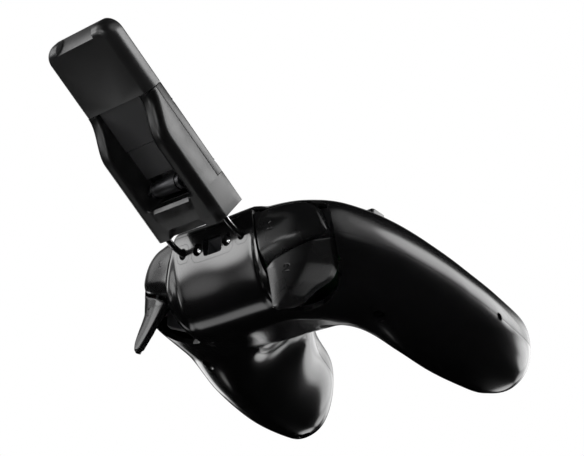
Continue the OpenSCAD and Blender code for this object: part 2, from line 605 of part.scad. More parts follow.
// Y where that axis meets the height
function foot_y(py, z) = face_y + py * cos(face_tilt) - drop_to(py, z) * sin(face_tilt);
module face_button(k, tint) {
  p = button_at[k];
  up = face_rise(p);
  foot = drop_to(p[1], dome_top + button_travel + 0.3);
  color(tint) place() on_face(1) translate([p[0], p[1], 0]) {
    translate([0, 0, up]) rotate_extrude($fn = 48) polygon(concat(
      [[0, foot - up], [1.9, foot - up], [1.9, -guide_l - 1.1], [guide_r + 0.9, -guide_l - 1.1],
       [guide_r + 0.9, -guide_l - 0.1], [button_d / 2, -guide_l - 0.1]],
      [for (a = [0:22.5:90]) [button_d / 2 - 0.8 + 0.8 * cos(a), button_out - 0.8 + 0.8 * sin(a)]],
      [[0, button_out]]));
  }
}
module button_near() { face_button(0, "#3c8f63"); }
module button_far() { face_button(1, "#c7a23c"); }
module button_inner() { face_button(2, "#3f6fb0"); }
module button_outer() { face_button(3, "#b0463f"); }
pad_pivot = -8;
pad_ear = 2.6;
pad_stem = 8.5;
pad_angle = 3;
module direction_pad() {
  color("#202022") place() on_face(-1) difference() {
    union() {
      translate([0, 0, -4.8]) linear_extrude(height = 6.8) pad_cross(0);
      translate([0, 0, -5.6]) cylinder(h = 1, r = 12, $fn = 48);
      for (s = [-1, 1]) {
        translate([-1.8, s > 0 ? pad_ear : -pad_ear - 1.6, pad_pivot - 1.7]) cube([3.6, 1.6, 4.4]);
        translate([s * pad_stem, 0, drop_to(0, dome_top + 1)])
          cylinder(h = -5.2 - drop_to(0, dome_top + 1), r = 1.5, $fn = 24);
        translate([0, s * pad_stem, drop_to(s * pad_stem, dome_top + 1)])
          cylinder(h = -5.2 - drop_to(s * pad_stem, dome_top + 1), r = 1.5, $fn = 24);
      }
    }
    translate([0, -6, pad_pivot]) rotate([-90, 0, 0]) cylinder(h = 12, r = 0.95, $fn = 24);
    translate([0, 0, 14]) sphere(r = 12.7, $fn = 48);
  }
}
module pad_cross_shaft() {
  color("#8f9296") place() on_face(-1) translate([0, 0, pad_pivot]) {
    cube([3.2, 3.2, 2.2], center = true);
    rotate([0, 90, 0]) cylinder(h = 2 * pad_ear + 3, r = 0.9, center = true, $fn = 24);
    rotate([90, 0, 0]) cylinder(h = 2 * pad_ear + 3, r = 0.9, center = true, $fn = 24);
  }
}
module pad_post() {
  py = face_y - pad_pivot * sin(face_tilt);
  pz = face_z + pad_pivot * cos(face_tilt);
  color("#2f3033") place() difference() {
    union() {
      translate([-face_x - 4.2, py - 2.4, board_top]) cube([8.4, 4.8, pz - 3 - board_top]);
      for (s = [-1, 1]) translate([-face_x + (s > 0 ? pad_ear : -pad_ear - 1.6), py - 1.8, board_top])
        cube([1.6, 3.6, pz + 1.6 - board_top]);
    }
    rod_x(-face_x - 6, -face_x + 6, py, pz, 0.95, 24);
  }
}
module dome(x, y) {
  translate([x, y, board_top + mat_t - 0.01]) rotate_extrude($fn = 32)
    polygon([[0, 0], [2.6, 0], [2.3, 0.7], [1.9, dome_h - 0.3], [1.6, dome_h], [0, dome_h]]);
}
module right_mat() {
  color("#6d7075") place() {
    difference() {
      translate([face_x - 14, face_y - 11.6, board_top]) cube([25, 25, mat_t]);
      translate([root_screw[0], root_screw[1], 0]) cylinder(h = 60, r = 2.7, $fn = 32);
      translate([face_x + 7.5, face_y - 12, 30]) cube([8, 9, 30]);
      for (s = [-1, 1]) translate([face_x - 15, face_y + (s > 0 ? 7.5 : -12.6), 30]) cube([7, 6.6, 30]);
    }
    for (p = button_at) dome(face_x + p[0], foot_y(p[1], dome_top));
  }
}
module left_mat() {
  color("#6d7075") place() {
    difference() {
      translate([-face_x - 12, face_y - 10, board_top]) cube([24, 22.5, mat_t]);
      translate([-root_screw[0], root_screw[1], 0]) cylinder(h = 60, r = 2.7, $fn = 32);
      translate([-face_x - 12.5, face_y - 12, 30]) cube([5.5, 9, 30]);
      translate([-face_x - 4.4, face_y - pad_pivot * sin(face_tilt) - 2.6, 30]) cube([8.8, 5.2, 30]);
    }
    for (s = [-1, 1]) {
      dome(-face_x + s * pad_stem, foot_y(0, dome_top));
      dome(-face_x, foot_y(s * pad_stem, dome_top));
    }
  }
}
// ---- small buttons and light ---------------------------------------------
small_travel = 0.8;
module small_button(k) {
  p = small_at[k];
  z = top_z(p[0], p[1]);
  color("#2a2a2c") place() translate([p[0], p[1], 0]) {
    translate([0, 0, z - 3.8]) cylinder(h = 4.6, r = p[2], $fn = 40);
    translate([0, 0, z + 0.8]) cylinder(h = 0.3, r1 = p[2], r2 = p[2] - 0.4, $fn = 40);
    translate([0, 0, z - 4.6]) cylinder(h = 1, r = p[2] + 1.1, $fn = 40);
    translate([0, 0, dome_top + small_travel + 0.2]) cylinder(h = z - 4.2 - dome_top - small_travel - 0.2,
      r = 1.6, $fn = 24);
  }
}
module back_button() { small_button(0); }
module start_button() { small_button(1); }
module home_button() { small_button(2); }
module middle_mat() {
  color("#6d7075") place() {
    translate([-14.5, 16.5, board_top]) cube([29, 7, mat_t]);
    translate([-3.5, 0.5, board_top]) cube([7, 17, mat_t]);
    for (p = small_at) dome(p[0], p[1]);
  }
}
module light_bar() {
  z = top_z(0, light_y);
  color("#cfe4ee") place() translate([0, light_y, 0]) {
    translate([-light_l / 2, -1, z - 4.4]) cube([light_l, 2, 4.6]);
    translate([-light_l / 2 - 1.2, -2, z - 4.8]) cube([light_l + 2.4, 4, 1]);
    translate([-1.5, -1, board_top]) cube([3, 2, z - 4.4 - board_top]);
  }
}
// ---- sticks --------------------------------------------------------------
stick_pin_r = 1;
yoke_out = 12.4;
yoke_in = 9.2;
frame_out = 15.2;
module at_stick(side) { translate([side * stick_x, stick_y, stick_z]) children(); }
module stick_frame(side) {
  color("#3a3b3f") place() difference() {
    translate([side * stick_x - frame_out / 2, stick_y - frame_out / 2, board_top])
      cube([frame_out, frame_out, stick_z + 2.2 - board_top]);
    translate([side * stick_x - frame_out / 2 + 1.2, stick_y - frame_out / 2 + 1.2, board_top + 1.2])
      cube([frame_out - 2.4, frame_out - 2.4, 30]);
    rod_x(side * stick_x - 9, side * stick_x + 9, stick_y, stick_z, stick_pin_r + pin_clear, 24);
  }
}
module stick_yoke(side) {
  color("#8f9296") place() at_stick(side) difference() {
    union() {
      translate([-yoke_out / 2, -yoke_out / 2, -1.5]) cube([yoke_out, yoke_out, 3]);
      for (s = [-1, 1]) rotate([0, s * 90, 0]) translate([0, 0, yoke_out / 2 - 0.2])
        cylinder(h = 1.5, r = stick_pin_r, $fn = 24);
    }
    translate([-yoke_in / 2, -yoke_in / 2, -5]) cube([yoke_in, yoke_in, 10]);
    rotate([90, 0, 0]) cylinder(h = 20, r = 0.95, center = true, $fn = 24);
  }
}
module stick_hub(side) {
  color("#55585d") place() at_stick(side) difference() {
    union() {
      translate([0, 0, -2]) cylinder(h = 4, r = 3.4, $fn = 36);
      rotate([90, 0, 0]) cylinder(h = yoke_out - 0.4, r = 0.9, center = true, $fn = 24);
    }
    translate([0, 0, -4]) cylinder(h = 8, r = 1.55, $fn = 24);
  }
}
module stick(side) {
  t = stick_cap_d / 2;
  b = stick_rise;
  color("#1c1c1e") place() at_stick(side) {
    translate([0, 0, -2.6]) cylinder(h = stick_dome_r + 2, r = 1.5, $fn = 24);
    rotate_extrude($fn = 60) polygon(concat(
      [for (a = [58:-5.75:12]) [stick_dome_r * sin(a), stick_dome_r * cos(a)]],
      [for (a = [12:5.75:58]) [(stick_dome_r - 1.2) * sin(a), (stick_dome_r - 1.2) * cos(a)]]));
    translate([0, 0, stick_dome_r - 1.3]) cylinder(h = b - stick_dome_r + 2, r = 3.6, $fn = 40);
    translate([0, 0, b]) rotate_extrude($fn = 60) polygon([[0, 0], [t - 2, 0], [t - 0.4, 0.8], [t, 1.6],
      [t, 2.6], [t - 0.5, 3.6], [t - 1.4, 4], [t - 2.4, 3.9], [t - 3.4, 3.2], [t - 5.5, 2.9], [0, 2.8]]);
  }
}
module left_stick_frame() { stick_frame(-1); }
module right_stick_frame() { stick_frame(1); }
module left_stick_yoke() { stick_yoke(-1); }
module right_stick_yoke() { stick_yoke(1); }
module left_stick_hub() { stick_hub(-1); }
module right_stick_hub() { stick_hub(1); }
module left_stick() { stick(-1); }
module right_stick() { stick(1); }
// ---- board, battery and screws -------------------------------------------
module main_board() {
  color("#1f5a3a") place() difference() {
    translate([0, 0, board_z]) linear_extrude(height = board_t) difference() {
      union() {
        translate([-21.5, -17]) square([43, rear_y - 9.2 + 17]);
        translate([-44, -18]) square([88, 46]);
        translate([-57, 1]) square([114, 25]);
      }
      for (s = [-1, 1]) translate([s * root_screw[0], root_screw[1]]) circle(r = 4.1, $fn = 32);
    }
  }
}
module battery() {
  color("#9aa0a6") place() {
    translate([-battery_l / 2, 0, battery_z + 0.8]) cube([battery_l, battery_w, battery_t - 1.6]);
    translate([-battery_l / 2 + 1.5, 0, battery_z]) cube([battery_l - 3, battery_w, battery_t]);
  }
}
module screw_up(x, y, seat, end) {
  difference() {
    union() {
      translate([x, y, seat - 1.7]) cylinder(h = 1.7, r = 2.3, $fn = 32);
      translate([x, y, seat - 0.2]) cylinder(h = end - seat + 0.2, r = case_screw_r, $fn = 24);
    }
    for (a = [0, 90]) translate([x, y, seat - 1.7]) rotate([0, 0, a]) cube([2.6, 0.6, 1.6], center = true);
  }
}
module case_screws() {
  color("#77797c") place() both() {
    screw_up(root_screw[0], root_screw[1], root_z + 4, 45.4);
    screw_up(tip_screw[0], tip_screw[1], tip_z + 9, 24.6);
  }
}
// ---- phone clip ----------------------------------------------------------
half_w = clip_w / 2;
channel_hw = channel_w / 2;
arm_x = channel_hw + 3.85;
slot_front = -11.55;
slot_back = -8.95;
lip_z = 13.7;
drum_at = [-6.7, 19.2];
screw_x = 18.35;
screw_in = 8.6;
clip_r = 3.6;
drum_pin_r = 1.2;
clip_screw_z = [19, clip_l - 8.6];
curve_z = 38;
// how far the back of the clip has come forward at a height along it
function clip_back(z) = -(clip_t - jaw_t) * sm(curve_z, clip_l, z);
module legs(r, bar) {
  for (s = [-1, 1]) translate([s * wire_gap / 2, -wire_in, -leg_out])
    cylinder(h = leg_out + leg_in, r = r, $fn = 32);
  rod_x(-wire_gap / 2, wire_gap / 2, -wire_in, 6.5, bar, 24);
}
module wire_legs() {
  color("#4a4c50") place() {
    on_clip() legs(wire_r, 1);
    for (s = [-1, 1]) {
      translate([s * wire_gap / 2, bend_y, bend_z]) sphere(r = wire_r + 0.05, $fn = 32);
      on_socket(s) translate([0, 0, -prong_l]) cylinder(h = prong_l + stub, r = wire_r, $fn = 32);
    }
  }
}
module clip_outline(z0, z1) {
  translate([0, 0, z0]) linear_extrude(height = z1 - z0) {
    translate([-half_w, -clip_t]) square([2 * half_w, clip_t - clip_r]);
    translate([-half_w + clip_r, -5]) square([2 * (half_w - clip_r), 5]);
    for (s = [-1, 1]) translate([s * (half_w - clip_r), -clip_r]) circle(r = clip_r, $fn = 48);
  }
}
// plate across the recess that covers the spring, with a foot in each rail
module bridge() {
  translate([-channel_hw, -10.6, 23.8]) cube([2 * channel_hw, 1.1, 13.8]);
  for (s = [-1, 1]) {
    translate([s > 0 ? channel_hw - 1 : -channel_hw, -10.6, 23.8]) cube([1, 2.6, 13.8]);
    translate([s > 0 ? channel_hw - 0.5 : -channel_hw - 1, -8.8, 23.8]) cube([1.5, 0.8, 13.8]);
  }
}
module clip_body() {
  color("#262729") place() on_clip() {
    difference() {
      union() {
        intersection() {
          clip_outline(0, clip_l);
          slab_x(-half_w - 1, half_w + 1) polygon(concat([[0, 0]],
            [for (z = [curve_z:1.55:clip_l + 0.01]) [clip_back(z), z]],
            [[slot_front, clip_l], [slot_front, 14], [-clip_t, 14], [-clip_t, 0]]));
        }
        slab_x(-hook_hw, hook_hw) polygon([[1 - clip_t, 4], [-clip_t - hook_out, 4],
          [-clip_t - hook_out, 10], [2 - clip_t - hook_out, 10], [2 - clip_t - hook_out, 7.5], [1 - clip_t, 7.5]]);
      }
      // recess between the rails, with a bevelled lip at its foot
      slab_x(-channel_hw, channel_hw) polygon([[slot_front, lip_z], [-1, lip_z], [0.4, lip_z - 1.4],
        [11, lip_z - 1.4], [11, clip_l + 5], [slot_front - 1, clip_l + 5], [slot_front - 1, 14], [slot_front, 14]]);
      // slots for the tongue's arms
      for (s = [-1, 1]) slab_x(s > 0 ? channel_hw - 0.5 : -arm_x - 0.05, s > 0 ? arm_x + 0.05 : 0.5 - channel_hw)
        polygon([[slot_front, 8], [slot_back, 8], [slot_back, clip_l + 5], [slot_front - 1, clip_l + 5],
          [slot_front - 1, 14], [slot_front, 14]]);
      slab_y(-2.8, 3) polygon([[-11.3, -1], [11.3, -1], [9.2, 4], [-9.2, 4]]);
      legs(wire_r + wire_clear, 1.06);
      rod_x(-channel_hw - 3.3, channel_hw + 3.3, drum_at[0], drum_at[1], drum_pin_r + 0.02, 32);
      for (s = [-1, 1], z = clip_screw_z) translate([s * screw_x, 0.2 - screw_in, z]) rotate([90, 0, 0])
        cylinder(h = 9, r = 0.85, $fn = 24);
    }
    bridge();
  }
}
module clip_face() {
  color("#202123") place() on_clip() difference() {
    translate([-half_w, -clip_t, 14.05]) cube([2 * half_w, clip_t + slot_front - 0.05, clip_l - 14.05]);
    for (s = [-1, 1], z = clip_screw_z) translate([s * screw_x, -screw_in, z]) rotate([90, 0, 0]) {
      cylinder(h = 9, r = 0.95, $fn = 24);
      translate([0, 0, clip_t - screw_in - 0.9]) cylinder(h = 3, r = 1.62, $fn = 32);
    }
  }
}
module clip_screws() {
  color("#8b8e92") place() on_clip() for (s = [-1, 1], z = clip_screw_z) translate([s * screw_x, -screw_in, z])
    rotate([90, 0, 0]) {
      cylinder(h = clip_t - screw_in - 0.4, r = 0.8, $fn = 24);
      translate([0, 0, clip_t - screw_in - 0.85]) cylinder(h = 0.75, r = 1.5, $fn = 32);
    }
}
jaw_z = clip_l + 0.3;
jaw_end = clip_l + jaw_l;
grip_gap = 67;
jaw_back = -(clip_t - jaw_t);
module upper_jaw() {
  r = 6.3;
  color("#262729") place() on_clip() difference() {
    union() {
      intersection() {
        slab_y(-clip_t, jaw_back) {
          translate([-half_w, jaw_z]) square([2 * half_w, jaw_end - r - jaw_z]);
          translate([-half_w + r, jaw_z]) square([2 * (half_w - r), jaw_end - jaw_z]);
          for (s = [-1, 1]) translate([s * (half_w - r), jaw_end - r]) circle(r = r, $fn = 64);
        }
        // rounded back edges
        translate([0, jaw_back, jaw_z - 1]) linear_extrude(height = jaw_l + 2) {
          translate([-half_w, -9]) square([2 * half_w, 9 - clip_r]);
          translate([-half_w + clip_r, -9]) square([2 * (half_w - clip_r), 9]);
          for (s = [-1, 1]) translate([s * (half_w - clip_r), -clip_r]) circle(r = clip_r, $fn = 48);
        }
        // the back edge of the top leans away
        slab_x(-half_w - 1, half_w + 1) polygon([[-clip_t - 1, jaw_z - 1], [jaw_back + 1, jaw_z - 1],
          [jaw_back + 1, jaw_end - 3.4], [jaw_back, jaw_end - 2.4], [jaw_back - 0.9, jaw_end - 0.9],
          [jaw_back - 2.4, jaw_end], [-clip_t - 1, jaw_end]]);
      }
      translate([-hook_hw, -clip_t - hook_out, 9.1 + grip_gap]) cube([2 * hook_hw, hook_out + 1, 3.5]);
      translate([-hook_hw, -clip_t - hook_out, 6.6 + grip_gap]) cube([2 * hook_hw, 2, 6]);
    }
    // scoop for a finger in the top edge
    slab_x(-10.3, 10.3) polygon([[jaw_back + 1, jaw_end - 4.05], [jaw_back, jaw_end - 3.6],
      [1 - clip_t, jaw_end + 0.1], [1 - clip_t, jaw_end + 2], [jaw_back + 1, jaw_end + 2]]);
    translate([-12.1, -11.2, jaw_z - 1]) cube([24.2, 1.5, 10]);
  }
}
module jaw_tongue() {
  color("#303236") place() on_clip() {
    translate([-arm_x, slot_front + 0.05, 37.8]) cube([2 * arm_x, slot_back - slot_front - 0.1, clip_l - 37.8]);
    for (s = [-1, 1]) translate([s > 0 ? channel_hw + 0.2 : -arm_x, slot_front + 0.05, 10])
      cube([arm_x - channel_hw - 0.2, slot_back - slot_front - 0.1, 30]);
    translate([-12, -11.15, clip_l - 1]) cube([24, 1.4, 10]);
  }
}
module spring_drum() {
  color("#9b9ea2") place() on_clip() difference() {
    rod_x(-drum_l / 2, drum_l / 2, drum_at[0], drum_at[1], drum_d / 2 - 0.1, 48);
    rod_x(-20, 20, drum_at[0], drum_at[1], drum_pin_r + 0.06, 32);
  }
}
module drum_pin() {
  color("#b4b6b8") place() on_clip()
    rod_x(-channel_hw - 3.2, channel_hw + 3.2, drum_at[0], drum_at[1], drum_pin_r, 32);
}
module spring_strip() {
  color("#a9acb0") place() on_clip() translate([-6, -11.1, drum_at[1]]) cube([12, 0.25, 37.8 - drum_at[1]]);
}
pad_t = 0.8;
module lower_pad() {
  color("#111112") place() on_clip() translate([-hook_hw + 0.4, -clip_t - hook_out + 2.2, 7.5])
    cube([2 * hook_hw - 0.8, hook_out - 2.4, pad_t]);
}
module upper_pad() {
  color("#111112") place() on_clip() translate([-hook_hw + 0.4, -clip_t - hook_out + 2.2, 9.1 + grip_gap - pad_t])
    cube([2 * hook_hw - 0.8, hook_out - 2.4, pad_t]);
}
module face_pad() {
  color("#111112") place() on_clip() translate([-17, -clip_t - pad_t, 17]) cube([34, pad_t, 37]);
}

top_shell();
back_shell();
port_panel();
port_shroud();
charge_port();
left_socket();
right_socket();
pair_button();
reset_button();
left_bumper();
right_bumper();
left_trigger();
right_trigger();
left_bracket();
right_bracket();
left_trigger_pin();
right_trigger_pin();
left_trigger_spring();
right_trigger_spring();
direction_pad();
pad_cross_shaft();
pad_post();
button_near();
button_far();
button_inner();
button_outer();
left_stick();
right_stick();
left_stick_hub();
right_stick_hub();
left_stick_yoke();
right_stick_yoke();
left_stick_frame();
right_stick_frame();
back_button();
start_button();
home_button();
light_bar();
left_mat();
right_mat();
middle_mat();
main_board();
battery();
case_screws();
wire_legs();
clip_body();
clip_face();
clip_screws();
upper_jaw();
jaw_tongue();
upper_pad();
lower_pad();
face_pad();
spring_drum();
drum_pin();
spring_strip();
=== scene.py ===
# Two-handed game controller with a spring phone clip, dressed for rendering.
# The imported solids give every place; the pieces that are seen are made finer
# here from the same outline and heights, and the rest keep their own shape.
import math

import bmesh
import bpy
import numpy as np
from mathutils import Matrix, Vector
from mathutils.bvhtree import BVHTree
from mathutils.geometry import delaunay_2d_cdt


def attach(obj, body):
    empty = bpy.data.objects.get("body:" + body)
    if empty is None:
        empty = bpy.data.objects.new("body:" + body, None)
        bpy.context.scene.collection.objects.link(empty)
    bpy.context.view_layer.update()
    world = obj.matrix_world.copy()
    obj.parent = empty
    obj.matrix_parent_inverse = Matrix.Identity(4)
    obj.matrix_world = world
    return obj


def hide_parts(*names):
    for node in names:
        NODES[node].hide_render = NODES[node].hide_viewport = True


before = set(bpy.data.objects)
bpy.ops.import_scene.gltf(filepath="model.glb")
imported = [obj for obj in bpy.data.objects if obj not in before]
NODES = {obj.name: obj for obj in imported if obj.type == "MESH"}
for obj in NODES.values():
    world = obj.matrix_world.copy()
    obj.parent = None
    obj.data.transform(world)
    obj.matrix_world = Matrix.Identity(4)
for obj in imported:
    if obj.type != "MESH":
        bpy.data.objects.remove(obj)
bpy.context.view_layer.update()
MM = 0.001
MIDDLE = 27.3188      # middle of the whole object along Y, before it is centred
SIDES = ((-1, "left"), (1, "right"))
QUARTER = math.pi / 2

# ------------------------------------------------------------------ the body
REAR, SHOULDER, GRIP = 49.2, 66.5, 75.0               # rear edge, half widths
TIP_Y, TIP_X, CROTCH, FRONT = -69.0, 59.5, 33.0, -23.4    # grip tips and the arch between them
SEAM, TIP_SEAM, RISE = 46.3, 15.5, 16.2               # seam heights, height of the top over it
UNDER_GRIP, UNDER_MID = 25.6, 19.6                    # depth of the underside below the seam
TOP_ROUND, UNDER_ROUND = 11.4, 27.4                   # width of the rounding in from the rim
WALL, SEAM_GAP = 2.2, 0.2


def sm(a, b, x):
    """A smooth step from 0 at a to 1 at b."""
    t = np.clip((np.asarray(x, float) - a) / (b - a), 0, 1)
    return t * t * (3 - 2 * t)


def mix(a, b, t):
    return a + (b - a) * t


def bow(s, p=2.3):
    """A quarter of a superellipse: steep at 0 and flat at 1."""
    return np.power(1 - np.power(1 - np.clip(s, 0, 1), p), 1 / p)


def outline(steps):
    """The right half of the body's outline, rear middle to front middle."""
    c = [(0, REAR), (23.5, REAR + 0.4), (40, REAR - 1.8), (51, REAR - 7.4),
         (SHOULDER - 8.5, REAR - 14.6), (SHOULDER - 3.9, 24), (SHOULDER, 10.7),
         (mix(SHOULDER, GRIP, 0.45), -6.4), (GRIP - 1.6, -21.8), (GRIP, -40),
         (GRIP - 3.2, TIP_Y + 9.4), (TIP_X + 4.3, TIP_Y + 0.8), (TIP_X - 6.4, TIP_Y + 0.4),
         (CROTCH + 6.6, TIP_Y + 9.4), (CROTCH, -43.8), (CROTCH - 7.6, -32.1),
         (21.4, FRONT - 2.1), (0, FRONT)]
    c = [(-c[1][0], c[1][1])] + c + [(-c[-2][0], c[-2][1])]
    c = np.array(c, float)
    out = []
    for i in range(1, len(c) - 2):
        p0, p1, p2, p3 = c[i - 1], c[i], c[i + 1], c[i + 2]
        for t in np.arange(steps) / steps:
            out.append(0.5 * (2 * p1 + (p2 - p0) * t + (2 * p0 - 5 * p1 + 4 * p2 - p3) * t * t
                              + (3 * p1 - p0 - 3 * p2 + p3) * t ** 3))
    out.append(c[-2])
    return np.array(out)


RIM = outline(14)


def rim_in(e):
    """The outline moved inward by e."""
    if e == 0:
        return RIM
    a = np.vstack([RIM[:1], RIM[:-1]])
    b = np.vstack([RIM[1:], RIM[-1:]])
    t = b - a
    t[0], t[-1] = (1, 0), (-1, 0)
    t /= np.linalg.norm(t, axis=1)[:, None]
    return np.stack([np.maximum(RIM[:, 0] + e * t[:, 1], 0), RIM[:, 1] - e * t[:, 0]], 1)


def rim_distance(r, x, y):
    """Distance from places in plan to an outline's right half."""
    p = np.stack([np.abs(x).ravel(), y.ravel()], 1)
    best = np.full(len(p), 1e9)
    for a, b in zip(r[:-1], r[1:]):
        d = b - a
        n = d @ d
        if n < 1e-12:
            continue
        t = np.clip(((p - a) @ d) / n, 0, 1)
        q = p - a - t[:, None] * d
        best = np.minimum(best, q[:, 0] ** 2 + q[:, 1] ** 2)
    return np.sqrt(best).reshape(np.shape(x))


def chin(x, y):
    """How far the middle of the rear edge lifts the seam over the panel."""
    return 11.2 * (1 - sm(22.6, 26.5, np.abs(x))) * sm(15, REAR, y)


def seam_at(x, y):
    share = 0.25 + 0.75 * sm(17, 53.5, np.abs(x))
    return SEAM - (SEAM - TIP_SEAM) * (1 - 1 / (1 + np.exp(-(y + 20.6) / 20.1))) * share + chin(x, y)


def rise_at(x, y):
    return (RISE - 2.1 * (1 - sm(-48, 21, y)) - chin(x, y)
            + 3.2 * (1 - sm(24, 52, np.abs(x))) * (1 - sm(-30, 12, y)))


def depth_at(x, y):
    mid = UNDER_MID + 8.6 * sm(-10.7, 42.8, y) - 8.6 * (1 - sm(-21.4, 0, y))
    grip = UNDER_GRIP - 4.1 * (1 - sm(-64, -10.7, y)) - 5 * sm(-12, 8, y)
    return mix(mid, grip, sm(19.3, 49.2, np.abs(x))) + chin(x, y)


def top_at(x, y, d, e=0.0):
    return seam_at(x, y) + (rise_at(x, y) - e) * bow(d / (TOP_ROUND - e))


def under_at(x, y, d, e=0.0):
    return seam_at(x, y) - (depth_at(x, y) - e) * bow(d / (UNDER_ROUND - e))


def top_z(x, y):
    x, y = np.array([float(x)]), np.array([float(y)])
    return float(top_at(x, y, rim_distance(RIM, x, y))[0])


def sheet(e, side, lift=0.0, nx=64, ny=72, calm=0):
    """Grid of points over the top (side 1) or the underside (side -1)."""
    r = rim_in(e)
    k = int(np.argmax(r[:, 0]))
    back, front = r[:k + 1], r[k:][::-1]
    xm = r[k, 0] - 0.02
    i = np.arange(-nx, nx + 1)
    xs = np.sign(i) * xm * np.power(np.sin(np.pi / 2 * np.abs(i) / nx), 0.9)
    ya = np.interp(np.abs(xs), back[:, 0], back[:, 1])
    yb = np.interp(np.abs(xs), front[:, 0], front[:, 1])
    w = (1 - np.cos(np.pi * np.arange(ny + 1) / ny)) / 2
    y = ya[:, None] + (yb - ya)[:, None] * w[None]
    x = np.repeat(xs[:, None], ny + 1, 1)
    d = rim_distance(r, x, y)
    d[:, 0] = d[:, -1] = 0
    # ease the ridge where two rims are equally near
    for _ in range(calm):
        g = d.copy()
        g[1:-1, 1:-1] = (d[1:-1, 1:-1] * 2 + d[:-2, 1:-1] + d[2:, 1:-1] + d[1:-1, :-2] + d[1:-1, 2:]) / 6
        hold = sm(5, 12, d)
        d = d + (np.minimum(g, d) - d) * hold
    z = (top_at if side > 0 else under_at)(x, y, d, e) + lift
    return np.stack([x, y, z], -1)


# ------------------------------------------------------------ mesh utilities
def make(name, verts, faces, move=True):
    """A new object from points in millimetres of the drawing."""
    v = np.asarray(verts, float).reshape(-1, 3).copy()
    if move:
        v[:, 1] -= MIDDLE
    me = bpy.data.meshes.new(name)
    me.from_pydata((v * MM).tolist(), [], [list(map(int, f)) for f in faces])
    me.validate()
    ob = bpy.data.objects.new(name, me)
    bpy.context.scene.collection.objects.link(ob)
    return ob


def outward(ob, merge=2e-7):
    bm = bmesh.new()
    bm.from_mesh(ob.data)
    bmesh.ops.remove_doubles(bm, verts=bm.verts, dist=merge)
    bmesh.ops.recalc_face_normals(bm, faces=bm.faces)
    bm.to_mesh(ob.data)
    bm.free()
    return ob


def grid_faces(n, m, start=0, flip=False, close=False):
    """Four-sided faces between n rows of m points."""
    out = []
    for i in range(n - 1):
        for j in range(m if close else m - 1):
            a, b = start + i * m + j, start + i * m + (j + 1) % m
            f = [a, a + m, b + m, b]
            out.append(f[::-1] if flip else f)
    return out


def closed_rings(n, m):
    """Faces of n rings of m points, with both ends closed."""
    return grid_faces(n, m, close=True) + [list(range(m)), list(range((n - 1) * m, n * m))]


def body_mesh(name, e=0.0, nx=64, ny=72, calm=6):
    """The whole body as one closed solid, e inside its surface."""
    t, u = sheet(e, 1, 0, nx, ny, calm), sheet(e, -1, 0, nx, ny, calm)
    loop = np.concatenate([t, u[:, -2:0:-1]], 1)
    return outward(make(name, loop, closed_rings(*loop.shape[:2])))


def shell_mesh(name, side, nx=64, ny=72):
    """One half of the case with its wall, from the seam up or down."""
    lift = side * SEAM_GAP / 2
    a, b = sheet(0, side, lift, nx, ny, 6), sheet(WALL, side, lift, nx, ny, 0)
    n, m = a.shape[:2]
    o = n * m
    faces = grid_faces(n, m) + grid_faces(n, m, o, True)
    for i in range(n - 1):
        for j in (0, m - 1):
            p = i * m + j
            f = [p, o + p, o + p + m, p + m]
            faces.append(f if j == 0 else f[::-1])
    for i in (0, n - 1):
        ring = [i * m + j for j in range(m)] + [o + i * m + j for j in range(m - 1, -1, -1)]
        faces.append(ring if i else ring[::-1])
    return outward(make(name, np.concatenate([a.reshape(-1, 3), b.reshape(-1, 3)]), faces))


def prism(name, pts, lo, hi, along):
    """A drawing stretched along X, Y or Z."""
    n = len(pts)
    p = np.array(pts, float)
    v = []
    for h in (lo, hi):
        c = np.full((n, 1), float(h))
        v.append({"x": np.hstack([c, p]), "y": np.hstack([p[:, :1], c, p[:, 1:]]),
                  "z": np.hstack([p, c])}[along])
    faces = [list(range(n))[::-1], list(range(n, 2 * n))]
    faces += [[i, (i + 1) % n, n + (i + 1) % n, n + i] for i in range(n)]
    return outward(make(name, np.vstack(v), faces))


def bar(name, pts, x0, x1):
    return prism(name, pts, x0, x1, "x")


def block(name, x0, x1, y0, y1, z0, z1):
    return bar(name, [(y0, z0), (y1, z0), (y1, z1), (y0, z1)], x0, x1)


def round_rect(w, h, r, cx=0.0, cz=0.0, n=8):
    """Corners of a rectangle with round corners, about a middle."""
    out = []
    for qx, qy, a0 in ((1, 1, 0), (-1, 1, 90), (-1, -1, 180), (1, -1, 270)):
        for k in range(n + 1):
            a = math.radians(a0 + 90 * k / n)
            out.append((cx + qx * (w / 2 - r) + r * math.cos(a), cz + qy * (h / 2 - r) + r * math.sin(a)))
    return out


def lathe(name, profile, turns=64, close=False):
    """Revolve (radius, height) points about Z; points on the axis are shared."""
    bm = bmesh.new()
    rings = []
    for r, z in profile:
        if r < 1e-6:
            rings.append([bm.verts.new((0, 0, z * MM))])
        else:
            rings.append([bm.verts.new((r * MM * math.cos(2 * math.pi * k / turns),
                                        r * MM * math.sin(2 * math.pi * k / turns), z * MM))
                          for k in range(turns)])
    pairs = list(zip(rings[:-1], rings[1:])) + ([(rings[-1], rings[0])] if close else [])
    for a, b in pairs:
        for k in range(turns):
            l = (k + 1) % turns
            if len(a) == 1 and len(b) > 1:
                bm.faces.new((a[0], b[k], b[l]))
            elif len(b) == 1 and len(a) > 1:
                bm.faces.new((a[k], b[0], a[l]))
            elif len(a) > 1:
                bm.faces.new((a[k], b[k], b[l], a[l]))
    bmesh.ops.recalc_face_normals(bm, faces=bm.faces)
    me = bpy.data.meshes.new(name)
    bm.to_mesh(me)
    bm.free()
    ob = bpy.data.objects.new(name, me)
    bpy.context.scene.collection.objects.link(ob)
    return ob


def settle(ob, m):
    """Put a piece made about its own middle where it belongs."""
    ob.data.transform(m)
    if m.to_3x3().determinant() < 0:
        ob.data.flip_normals()
    return ob


